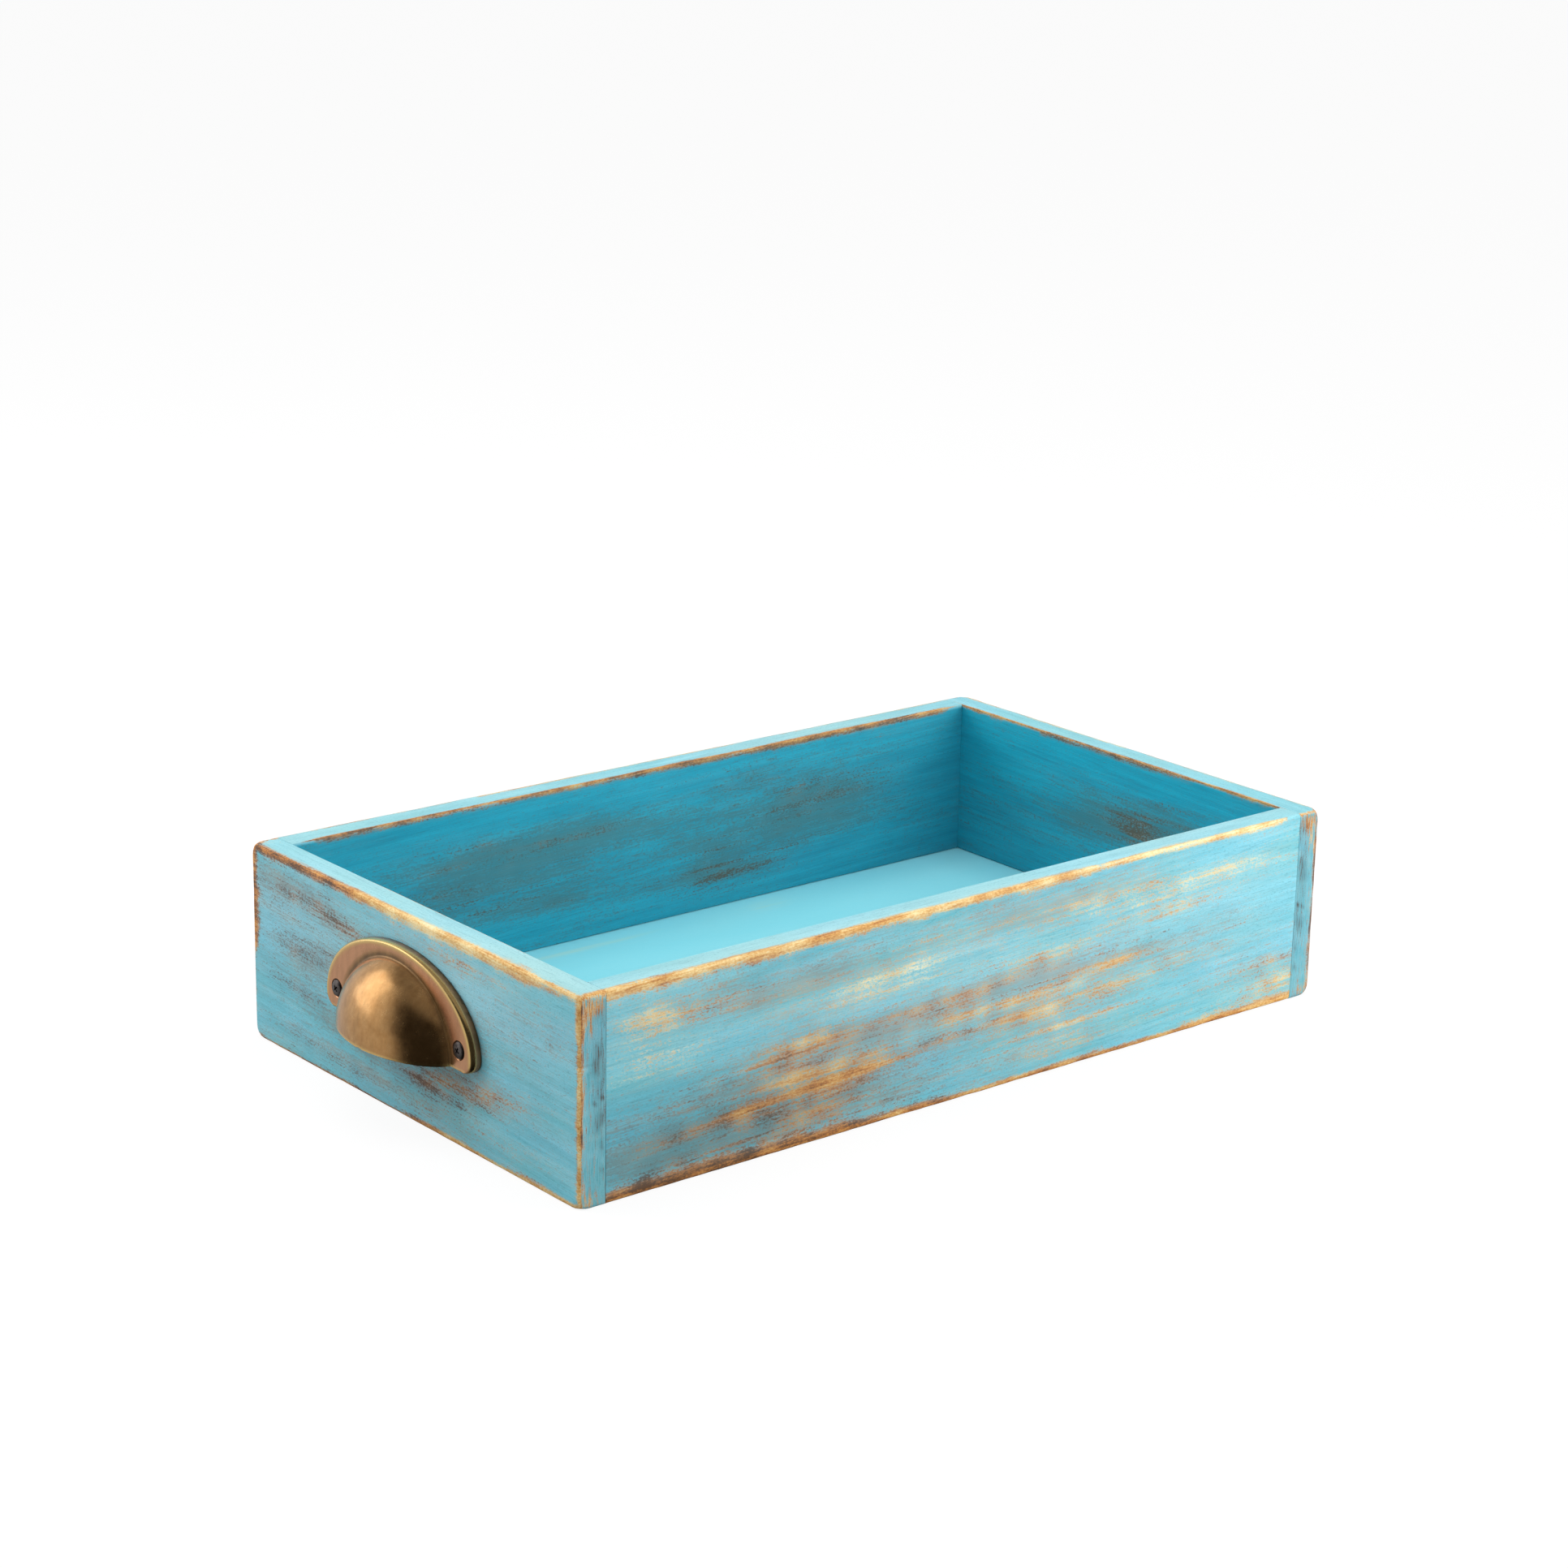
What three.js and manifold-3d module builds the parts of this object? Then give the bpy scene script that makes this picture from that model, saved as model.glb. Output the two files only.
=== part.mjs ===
// An open wooden box for washer pitching: two end boards, two side boards butted between them,
// a floor panel held in grooves, and a cup pull screwed to each end. Hidden brads pin the corners.
// Millimetres, +Z up, X along the box. The origin is on the ground under the box's centre.
import * as THREE from 'three';
import { mergeVertices } from 'three/addons/utils/BufferGeometryUtils.js';
import Module from 'manifold-3d';

const wasm = await Module();
wasm.setup();

// Carcass
const boxLength = 350;
const boxWidth = 203;
const boxHeight = 75;
const boardThickness = 10.8;
const cornerRadius = 2.2; // upright outer corners, rounded after gluing up
const easedEdge = 1.2; // top and bottom outer edges
const glueLine = 0.2;
const fitGap = 0.3; // between pieces that touch or slide together

// Floor panel and its grooves
const floorTop = 11.6;
const floorThickness = 5;
const grooveDepth = 5;

// Cup pull, in a frame of its own: x across the end board, y up, z out from the board's face
const pullHalfWidth = 46.2;
const archHeight = 28.8; // of the flange's half ellipse
const earRadius = 5.2; // lower corners of the flange
const flangeThickness = 4;
const flangeEdge = 1.6; // rounding of the flange's front edge
const domeHalfWidth = 33.7;
const domeHeight = 29.5;
const domeDepth = 19.5;
const shellThickness = 1.5;
const pullBase = 30.5; // height of the pull's lower edge above the ground

// Pull screws
const screwSpacing = 76;
const screwHeight = 38;
const screwLength = 12.6;
const screwHeadRadius = 3.1;
const screwHeadDepth = 2;
const screwCrown = 0.5;
const threadCrest = 1.75;
const threadRoot = 1.2;
const threadPitch = 1.4;
const screwTipLength = 1.8;
const plainShank = 0.8; // between the head and the first thread
const pilotSpare = 0.6; // the pilot hole is this much deeper than the screw
const recessReach = 1.9; // cross recess, from the axis to the end of a slot
const recessHalfWidth = 0.45;
const recessDepth = 1.7;

// Corner brads
const bradHeights = [22, 42, 62];
const bradLength = 25;
const bradRadius = 0.6;
const bradHeadRadius = 1;
const bradHeadThickness = 0.6;
const bradPointLength = 2;
const bradSetBack = 0.5; // the head lies this far below the board's face

// How finely round shapes are divided
const domeSegments = 36;
const screwSegments = 12;
const holeSegments = 12;
const bradSegments = 8;
const flangeSegments = 16;
const overcut = 1; // cutting tools reach this far past the face that they cut

const halfLength = boxLength / 2;
const halfWidth = boxWidth / 2;
const innerHalfLength = halfLength - boardThickness;
const innerHalfWidth = halfWidth - boardThickness;

const paintedWood = new THREE.MeshStandardMaterial({ color: 0x7fc4d8, roughness: 0.6, metalness: 0 });
const paintedPanel = new THREE.MeshStandardMaterial({ color: 0x86d6e6, roughness: 0.45, metalness: 0 });
const antiqueBrass = new THREE.MeshStandardMaterial({ color: 0x9a6d35, roughness: 0.35, metalness: 1 });
const blackScrew = new THREE.MeshStandardMaterial({ color: 0x2a2724, roughness: 0.4, metalness: 1 });
const brightSteel = new THREE.MeshStandardMaterial({ color: 0xb9b9b6, roughness: 0.3, metalness: 1 });

// A closed three.js geometry as a manifold-3d solid.
function solid(geometry) {
  const bare = geometry.clone();
  bare.deleteAttribute('normal');
  bare.deleteAttribute('uv');
  const merged = mergeVertices(bare, 1e-4);
  return new wasm.Manifold(new wasm.Mesh({
    numProp: 3,
    vertProperties: merged.attributes.position.array,
    triVerts: new Uint32Array(merged.index.array),
  }));
}

function namedMesh(name, body, material) {
  const { vertProperties, triVerts } = body.getMesh();
  const geometry = new THREE.BufferGeometry();
  geometry.setAttribute('position', new THREE.BufferAttribute(vertProperties, 3));
  geometry.setIndex(new THREE.BufferAttribute(triVerts, 1));
  geometry.computeVertexNormals();
  const mesh = new THREE.Mesh(geometry, material);
  mesh.name = name;
  return mesh;
}

// A solid block between two corners.
function block(low, high) {
  const size = high.map((value, axis) => value - low[axis]);
  const geometry = new THREE.BoxGeometry(...size);
  geometry.translate(...low.map((value, axis) => value + size[axis] / 2));
  return solid(geometry);
}

// The outside of the whole carcass, with its corners rounded and its edges eased.
function carcassSolid() {
  const x = halfLength - cornerRadius;
  const y = halfWidth - cornerRadius;
  const outline = new THREE.Shape();
  outline.absarc(x, y, cornerRadius, 0, Math.PI / 2);
  outline.absarc(-x, y, cornerRadius, Math.PI / 2, Math.PI);
  outline.absarc(-x, -y, cornerRadius, Math.PI, 1.5 * Math.PI);
  outline.absarc(x, -y, cornerRadius, 1.5 * Math.PI, 2 * Math.PI);
  const geometry = new THREE.ExtrudeGeometry(outline, {
    depth: boxHeight - 2 * easedEdge,
    curveSegments: 4,
    bevelThickness: easedEdge,
    bevelSize: easedEdge,
    bevelOffset: -easedEdge,
    bevelSegments: 3,
  });
  geometry.translate(0, 0, easedEdge);
  return solid(geometry);
}

// A turned solid whose axis runs out along +Z, from [radius, height] pairs listed from the bottom up.
function turned(profile, segments) {
  const points = profile.map(([radius, height]) => new THREE.Vector2(radius, height));
  const geometry = new THREE.LatheGeometry(points, segments);
  geometry.rotateX(Math.PI / 2);
  return solid(geometry);
}

// A brad along +Z with its head's top at the origin, and the bore that clears it.
function bradSolid() {
  return turned([
    [0, -bradLength],
    [bradRadius, -bradLength + bradPointLength],
    [bradRadius, -bradHeadThickness],
    [bradHeadRadius, -bradHeadThickness],
    [bradHeadRadius, 0],
    [0, 0],
  ], bradSegments);
}

function bradBore() {
  const shank = bradRadius + fitGap;
  const head = bradHeadRadius + fitGap;
  return turned([
    [0, -bradLength - fitGap],
    [shank, -bradLength - fitGap],
    [shank, -bradHeadThickness - fitGap],
    [head, -bradHeadThickness - fitGap],
    [head, bradSetBack + overcut],
    [0, bradSetBack + overcut],
  ], bradSegments);
}

// Turns a piece made along +Z to point out of the left end, at a given y and z, with its zero at a given x.
function outOfLeftEnd(body, x, y, z) {
  return body.rotate([0, -90, 0]).translate([x, y, z]);
}

const bradFaceX = -halfLength + bradSetBack;
const bradY = halfWidth - boardThickness / 2;
const bradPlaces = [-bradY, bradY].flatMap((y) => bradHeights.map((z) => [y, z]));
const carcass = carcassSolid();

// The left end board; the right one is the same board turned half round.
function endBoardSolid() {
  const innerFace = -innerHalfLength;
  let board = carcass.intersect(
    block(
      [-halfLength - overcut, -halfWidth - overcut, -overcut],
      [innerFace, halfWidth + overcut, boxHeight + overcut],
    ),
  );
  const groove = block(
    [innerFace - grooveDepth, -innerHalfWidth - grooveDepth, floorTop - floorThickness - fitGap],
    [innerFace + overcut, innerHalfWidth + grooveDepth, floorTop + fitGap],
  );
  board = board.subtract(groove);
  for (const [y, z] of bradPlaces) {
    board = board.subtract(outOfLeftEnd(bradBore(), bradFaceX, y, z));
  }
  for (const y of [-screwSpacing / 2, screwSpacing / 2]) {
    const pilotRadius = threadCrest + fitGap;
    const pilotBottom = flangeThickness - screwLength - pilotSpare;
    const pilot = turned([
      [0, pilotBottom],
      [pilotRadius, pilotBottom],
      [pilotRadius, overcut],
      [0, overcut],
    ], holeSegments);
    board = board.subtract(outOfLeftEnd(pilot, -halfLength, y, screwHeight));
  }
  return board;
}

// The front side board; the back one is the same board turned half round.
function sideBoardSolid() {
  const end = innerHalfLength - glueLine;
  let board = carcass.intersect(
    block([-end, -halfWidth - overcut, -overcut], [end, -innerHalfWidth, boxHeight + overcut]),
  );
  const groove = block(
    [-halfLength, -innerHalfWidth - grooveDepth, floorTop - floorThickness - fitGap],
    [halfLength, -innerHalfWidth + overcut, floorTop + fitGap],
  );
  board = board.subtract(groove);
  for (const z of bradHeights) {
    const bore = outOfLeftEnd(bradBore(), bradFaceX, -bradY, z);
    board = board.subtract(bore).subtract(bore.mirror([1, 0, 0]));
  }
  return board;
}

function floorPanelSolid() {
  const x = innerHalfLength + grooveDepth - fitGap;
  const y = innerHalfWidth + grooveDepth - fitGap;
  return block([-x, -y, floorTop - floorThickness], [x, y, floorTop]);
}

// The flange's face outline: a half ellipse standing on two rounded lower corners.
function flangeOutline() {
  const springLine = pullBase + earRadius;
  const outline = new THREE.Shape();
  outline.absellipse(0, springLine, pullHalfWidth, archHeight, 0, Math.PI, false, 0);
  outline.absarc(-pullHalfWidth + earRadius, springLine, earRadius, Math.PI, 1.5 * Math.PI);
  outline.absarc(pullHalfWidth - earRadius, springLine, earRadius, 1.5 * Math.PI, 2 * Math.PI);
  return outline;
}

// A quarter ellipsoid on the board's face, shrunk on all its axes by an inset.
function domeSolid(inset) {
  const geometry = new THREE.SphereGeometry(1, domeSegments, domeSegments / 2);
  geometry.scale(domeHalfWidth - inset, domeHeight - inset, domeDepth - inset);
  geometry.translate(0, pullBase, 0);
  return solid(geometry);
}

// The screw's seat through the flange: a clearance hole and its countersink.
function screwSeat() {
  const hole = threadCrest + fitGap;
  const rim = screwHeadRadius + fitGap;
  return turned([
    [0, -overcut],
    [hole, -overcut],
    [hole, flangeThickness - screwHeadDepth - fitGap],
    [rim, flangeThickness - fitGap],
    [rim, flangeThickness + overcut],
    [0, flangeThickness + overcut],
  ], holeSegments);
}

function cupPullSolid() {
  const plate = new THREE.ExtrudeGeometry(flangeOutline(), {
    depth: flangeThickness,
    curveSegments: flangeSegments,
    bevelThickness: flangeEdge,
    bevelSize: flangeEdge,
    bevelOffset: -flangeEdge,
    bevelSegments: 3,
  });
  plate.translate(0, 0, -flangeEdge);
  const inFrontOfBoard = block(
    [-pullHalfWidth - overcut, pullBase, fitGap],
    [pullHalfWidth + overcut, pullBase + 2 * archHeight, 2 * domeDepth],
  );
  let pull = solid(plate).add(domeSolid(0)).subtract(domeSolid(shellThickness));
  pull = pull.intersect(inFrontOfBoard);
  for (const x of [-screwSpacing / 2, screwSpacing / 2]) {
    pull = pull.subtract(screwSeat().translate([x, screwHeight, 0]));
  }
  return pull;
}

// A countersunk wood screw along +Z, its head's rim at the origin, with a cross recess.
function screwSolid() {
  const threadTop = -screwHeadDepth - plainShank;
  const threadBottom = -screwLength + screwTipLength;
  const turns = Math.floor((threadTop - threadBottom) / threadPitch);
  const profile = [[0, -screwLength]];
  for (let turn = 0; turn < turns; turn += 1) {
    const z = threadBottom + turn * threadPitch;
    profile.push([threadRoot, z], [threadCrest, z + threadPitch * 0.4], [threadRoot, z + threadPitch * 0.8]);
  }
  profile.push([threadRoot, -screwHeadDepth]);
  profile.push([screwHeadRadius, -fitGap], [screwHeadRadius, 0]);
  profile.push([screwHeadRadius * 0.6, screwCrown * 0.75], [0, screwCrown]);
  return turned(profile, screwSegments).subtract(crossRecess());
}

// Two crossed slots that narrow towards the bottom.
function crossRecess() {
  const reach = recessReach;
  const width = recessHalfWidth;
  const cross = block([-reach, -width, -recessDepth], [reach, width, overcut])
    .add(block([-width, -reach, -recessDepth], [width, reach, overcut]));
  const taper = turned([
    [0, -recessDepth],
    [reach * 0.35, -recessDepth],
    [reach, 0],
    [reach, overcut],
    [0, overcut],
  ], 2 * screwSegments);
  return cross.intersect(taper);
}

// One end of the box: its board, its pull with two screws, and the brads through its board.
function endGroup(side) {
  const group = new THREE.Group();
  group.add(namedMesh(`${side}_end_board`, endBoardSolid(), paintedWood));

  // The pull's own frame: x across, y up, z out of the board.
  const pullFrame = new THREE.Group();
  pullFrame.matrixAutoUpdate = false;
  pullFrame.matrix.makeBasis(
    new THREE.Vector3(0, -1, 0),
    new THREE.Vector3(0, 0, 1),
    new THREE.Vector3(-1, 0, 0),
  ).setPosition(-halfLength, 0, 0);
  pullFrame.add(namedMesh(`${side}_cup_pull`, cupPullSolid(), antiqueBrass));
  [-screwSpacing / 2, screwSpacing / 2].forEach((x, index) => {
    const screw = namedMesh(`${side}_pull_screw_${index + 1}`, screwSolid(), blackScrew);
    screw.position.set(x, screwHeight, flangeThickness);
    pullFrame.add(screw);
  });
  group.add(pullFrame);

  bradPlaces.forEach(([y, z], index) => {
    const brad = namedMesh(`${side}_corner_brad_${index + 1}`, bradSolid(), brightSteel);
    brad.position.set(bradFaceX, y, z);
    brad.rotation.y = -Math.PI / 2;
    group.add(brad);
  });
  return group;
}

const washerBox = new THREE.Group();
washerBox.name = 'washer_box';

washerBox.add(endGroup('left'));
const rightEnd = endGroup('right');
rightEnd.rotation.z = Math.PI;
washerBox.add(rightEnd);

washerBox.add(namedMesh('front_side_board', sideBoardSolid(), paintedWood));
const backBoard = namedMesh('back_side_board', sideBoardSolid(), paintedWood);
backBoard.rotation.z = Math.PI;
washerBox.add(backBoard);

washerBox.add(namedMesh('floor_panel', floorPanelSolid(), paintedPanel));

export default washerBox;
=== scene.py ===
import math
import bmesh
import bpy
from mathutils import Matrix, Vector, noise


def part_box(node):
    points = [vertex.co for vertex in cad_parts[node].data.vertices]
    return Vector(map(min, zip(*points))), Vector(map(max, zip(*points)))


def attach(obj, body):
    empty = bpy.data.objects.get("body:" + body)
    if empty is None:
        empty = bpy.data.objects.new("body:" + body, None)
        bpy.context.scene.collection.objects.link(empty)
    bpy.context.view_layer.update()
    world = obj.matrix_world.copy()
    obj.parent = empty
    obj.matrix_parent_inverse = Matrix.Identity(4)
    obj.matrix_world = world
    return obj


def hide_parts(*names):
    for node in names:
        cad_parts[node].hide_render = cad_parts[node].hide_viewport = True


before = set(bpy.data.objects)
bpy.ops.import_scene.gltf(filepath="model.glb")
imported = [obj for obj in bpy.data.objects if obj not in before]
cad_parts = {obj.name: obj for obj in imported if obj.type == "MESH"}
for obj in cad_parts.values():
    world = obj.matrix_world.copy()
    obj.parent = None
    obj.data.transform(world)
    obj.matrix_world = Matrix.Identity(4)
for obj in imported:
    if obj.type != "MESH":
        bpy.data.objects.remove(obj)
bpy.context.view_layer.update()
mm = 0.001

# Places that every piece is worked out from, in metres
leftBoardLow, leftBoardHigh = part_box("left_end_board")
frontBoardLow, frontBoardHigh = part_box("front_side_board")
panelLow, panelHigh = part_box("floor_panel")
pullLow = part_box("left_cup_pull")[0]
halfTurn = Matrix.Rotation(math.pi, 4, "Z")

samePlace = 1e-5  # metres
noiseRange = (0.28, 0.72)  # where nearly all of a noise node's values lie


def clamp(value, low=0.0, high=1.0):
    return max(low, min(high, value))


def smoothStep(low, high, value):
    t = clamp((value - low) / (high - low))
    return t * t * (3 - 2 * t)


def waver(point, size, seed=0.0):
    # soft noise about zero, with features of the given size
    return noise.noise(Vector(point) / size + Vector((seed, seed * 0.7, -seed)))


def evenPlaces(low, high, size, extra=()):
    count = max(1, round((high - low) / size))
    places = [low + (high - low) * index / count for index in range(1, count)]
    return sorted(places + list(extra))


def cutAcross(bm, axis, places):
    normal = Vector([1.0 if index == axis else 0.0 for index in range(3)])
    for place in places:
        bmesh.ops.bisect_plane(
            bm,
            geom=bm.verts[:] + bm.edges[:] + bm.faces[:],
            dist=1e-7,
            plane_co=normal * place,
            plane_no=normal,
        )


def edgesOn(bm, **planes):
    # the edges that lie in all of the planes, each given as an axis and its place
    def lies(co):
        return all(abs(getattr(co, axis) - place) < samePlace for axis, place in planes.items())

    return [edge for edge in bm.edges if lies(edge.verts[0].co) and lies(edge.verts[1].co)]


def roundEdges(bm, edges, width, segments):
    bmesh.ops.bevel(
        bm, geom=edges, offset=width, segments=segments, affect="EDGES", profile=0.5, material=-1
    )


def addBlock(bm, size, middle):
    bmesh.ops.create_cube(bm, size=1)
    bmesh.ops.scale(bm, vec=size, verts=bm.verts)
    bmesh.ops.translate(bm, vec=middle, verts=bm.verts)


def addTurning(bm, outline, count):
    # a round body about Z from a line of (radius, height) points that starts and ends on the axis
    verts = [bm.verts.new((radius, 0, height)) for radius, height in outline]
    for start, end in zip(verts, verts[1:]):
        bm.edges.new((start, end))
    bmesh.ops.spin(
        bm, geom=bm.verts[:] + bm.edges[:], cent=(0, 0, 0), axis=(0, 0, 1), angle=2 * math.pi,
        steps=count, use_merge=True,
    )
    bmesh.ops.remove_doubles(bm, verts=bm.verts, dist=1e-4)
    bmesh.ops.recalc_face_normals(bm, faces=bm.faces)


def addObject(name, data):
    made = bpy.data.objects.new(name, data)
    bpy.context.scene.collection.objects.link(made)
    return made


def meshObject(bm, name):
    mesh = bpy.data.meshes.new(name)
    bm.to_mesh(mesh)
    bm.free()
    return addObject(name, mesh)


def newPiece(bm, name, material, sharpAngle=35):
    piece = meshObject(bm, name)
    piece.data.materials.append(material)
    piece.data.shade_smooth()
    piece.data.set_sharp_from_angle(angle=math.radians(sharpAngle))
    return piece


def carve(piece, cutter):
    # takes the cutter's shape out of the piece for good, and the cutter out of the scene
    cut = piece.modifiers.new("carve", "BOOLEAN")
    cut.object = cutter
    cut.operation = "DIFFERENCE"
    cut.solver = "EXACT"
    graph = bpy.context.evaluated_depsgraph_get()
    finished = bpy.data.meshes.new_from_object(piece.evaluated_get(graph))
    piece.modifiers.clear()
    old = piece.data
    piece.data = finished
    bpy.data.meshes.remove(old)
    bpy.data.objects.remove(cutter)


def startMaterial(name):
    material = bpy.data.materials.new(name)
    material.use_nodes = True
    tree = material.node_tree
    tree.nodes.clear()
    output = tree.nodes.new("ShaderNodeOutputMaterial")
    shader = tree.nodes.new("ShaderNodeBsdfPrincipled")
    tree.links.new(shader.outputs[0], output.inputs[0])
    return material, tree, shader


def plug(tree, value, socket):
    # a node's result, a colour or a plain number
    if isinstance(value, bpy.types.NodeSocket):
        tree.links.new(value, socket)
    elif isinstance(value, tuple):
        socket.default_value = (*value, 1.0)
    else:
        socket.default_value = value


def plugAll(tree, node, values):
    for key, value in values.items():
        plug(tree, value, node.inputs[key])


def calc(tree, operation, first, second=0.0, third=0.0, clamped=False):
    node = tree.nodes.new("ShaderNodeMath")
    node.operation = operation
    node.use_clamp = clamped
    for value, socket in zip((first, second, third), node.inputs):
        plug(tree, value, socket)
    return node.outputs[0]


def scaled(tree, value, gain, offset=0.0, clamped=False):
    return calc(tree, "MULTIPLY_ADD", value, gain, offset, clamped)


def blendColors(tree, amount, first, second):
    node = tree.nodes.new("ShaderNodeMix")
    node.data_type = "RGBA"
    plugAll(tree, node, {0: amount, 6: first, 7: second})
    return node.outputs[2]


def blendValues(tree, amount, first, second):
    node = tree.nodes.new("ShaderNodeMix")
    node.data_type = "FLOAT"
    plugAll(tree, node, {0: amount, 2: first, 3: second})
    return node.outputs[0]


def spread(tree, value, fromLow, fromHigh, toLow=0.0, toHigh=1.0, easing="SMOOTHSTEP"):
    node = tree.nodes.new("ShaderNodeMapRange")
    node.interpolation_type = easing
    plugAll(tree, node, {
        "Value": value, "From Min": fromLow, "From Max": fromHigh, "To Min": toLow, "To Max": toHigh,
    })
    return node.outputs[0]


def objectPoint(tree, scale=(1000, 1000, 1000), turn=(0, 0, 0)):
    # the object's own coordinates, turned, and in millimetres unless scaled otherwise
    point = tree.nodes.new("ShaderNodeTexCoord").outputs["Object"]
    for key, value in (("Rotation", turn), ("Scale", scale)):
        mapping = tree.nodes.new("ShaderNodeMapping")
        mapping.inputs[key].default_value = value
        tree.links.new(point, mapping.inputs["Vector"])
        point = mapping.outputs[0]
    return point


def grainNoise(tree, point, size, detail=3.0, roughness=0.55):
    # noise from 0 to 1 with features of a given size in millimetres
    node = tree.nodes.new("ShaderNodeTexNoise")
    plugAll(tree, node, {"Vector": point, "Scale": 1 / size, "Detail": detail, "Roughness": roughness})
    return spread(tree, node.outputs[0], *noiseRange, easing="LINEAR")


def surfaceValue(tree, name):
    node = tree.nodes.new("ShaderNodeAttribute")
    node.attribute_name = name
    return node.outputs["Fac"]


def colorSteps(tree, value, steps):
    node = tree.nodes.new("ShaderNodeValToRGB")
    elements = node.color_ramp.elements
    while len(elements) < len(steps):
        elements.new(0.5)
    for element, (place, color) in zip(elements, steps):
        element.position = place
        element.color = (*color, 1.0)
    tree.links.new(value, node.inputs[0])
    return node.outputs[0]


def addBump(tree, shader, height, distance, strength):
    node = tree.nodes.new("ShaderNodeBump")
    plugAll(tree, node, {"Height": height, "Distance": distance, "Strength": strength})
    tree.links.new(node.outputs[0], shader.inputs["Normal"])


# Pairs are a gain and an offset. A mix gives each grain's share, and "from" is where its sum starts.
paint = {
    "light": (0.270, 0.665, 0.810),
    "mid": (0.085, 0.430, 0.555),
    "green": (0.150, 0.500, 0.500),
    "pale": (0.400, 0.740, 0.840),
    # painted sheen whitening the rim's top
    "paintedHighlight": (0.640, 0.740, 0.640),
    "pore": (0.035, 0.175, 0.215),
    # painted shade: the coat's colours where shade falls
    "paintInShade": (0.003, 0.420, 0.570),
    "paintInDeepShade": (0.003, 0.240, 0.350),
    "wood": [
        (0.00, (0.94, 0.84, 0.56)),
        (0.28, (0.86, 0.66, 0.32)),
        (0.54, (0.68, 0.375, 0.115)),
        (0.74, (0.50, 0.205, 0.058)),
        (0.88, (0.26, 0.115, 0.045)),
        (1.00, (0.13, 0.062, 0.034)),
    ],
    "scuffLight": (0.50, 0.40, 0.28),
    "scuffDark": (0.19, 0.115, 0.08),
    "scuffInShade": (0.075, 0.110, 0.080),
    "woodShadeColor": (0.120, 0.085, 0.040),
    "grime": (0.085, 0.115, 0.12),
    "grainSlope": 0.038,
    "grains": {  # stretch along the grain, size in mm, detail, roughness, whether it slopes
        "specks": (1.8, 0.62, 2.0, 0.6, False),
        "fibres": (18.0, 0.55, 2.0, 0.55, True),
        "streaks": (36.0, 1.5, 3.0, 0.55, True),
        "clouds": (5.0, 8.0, 2.0, 0.5, True),
        "drifts": (14.0, 4.2, 2.0, 0.5, True),
        "swathes": (22.0, 2.6, 3.0, 0.6, True),
        "patches": (3.0, 17.0, 2.0, 0.5, False),
    },
    "uprightScale": (1000, 1000, 90),
    "uprightGrain": (0.55, 2.0, 0.5),
    "bareMix": {"from": -0.22, "specks": 0.50, "fibres": 0.22, "streaks": 0.38, "swathes": 0.34},
    "bareLimit": (-0.96, 1.02),
    "bareContrast": (2.9, 0.46),
    "bareCover": (0.36, 0.58),
    "washGrain": (0.9, 0.10),
    "washCover": 0.52,
    "scuffMix": {"from": 0.0, "specks": 0.44, "fibres": 0.38, "drifts": 0.18},
    "scuffLimit": (-0.62, 0.86),
    "scuffContrast": (3.6, 0.38),
    "scuffCover": 0.52,
    "brushMix": {"from": 0.0, "streaks": 0.45, "clouds": 0.30, "drifts": 0.25},
    "paleStreaks": (1.5, -0.85),
    "paleCover": 0.42,
    "greenCover": 0.42,
    "paintedLightGrain": (0.5, 0.75),
    "pits": (-1.6, 0.62),
    "pitCover": 0.44,
    "pores": (-2.0, 0.80),
    "poreCover": 0.42,
    "toneMix": {"from": -0.42, "specks": 0.30, "fibres": 0.24, "streaks": 0.30},
    "woodShadeAmount": 0.50,
    "grimeGrain": (0.9, 0.45),
    "roughness": (0.16, 0.50),
    "fibreRoughness": 0.10,
    "sheen": (-0.24, 0.36),
    "bareDepth": -0.7,
    "grainDepths": {"fibres": 0.45, "streaks": 0.35},
    "bump": (0.12 * mm, 0.8),
}

# What paintBoard gives at every vertex and wornPaint reads
boardValues = ("wear", "tone", "scuff", "paintedShade", "grime", "endGrain", "paintedLightAndShade", "rimSheen")


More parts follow.
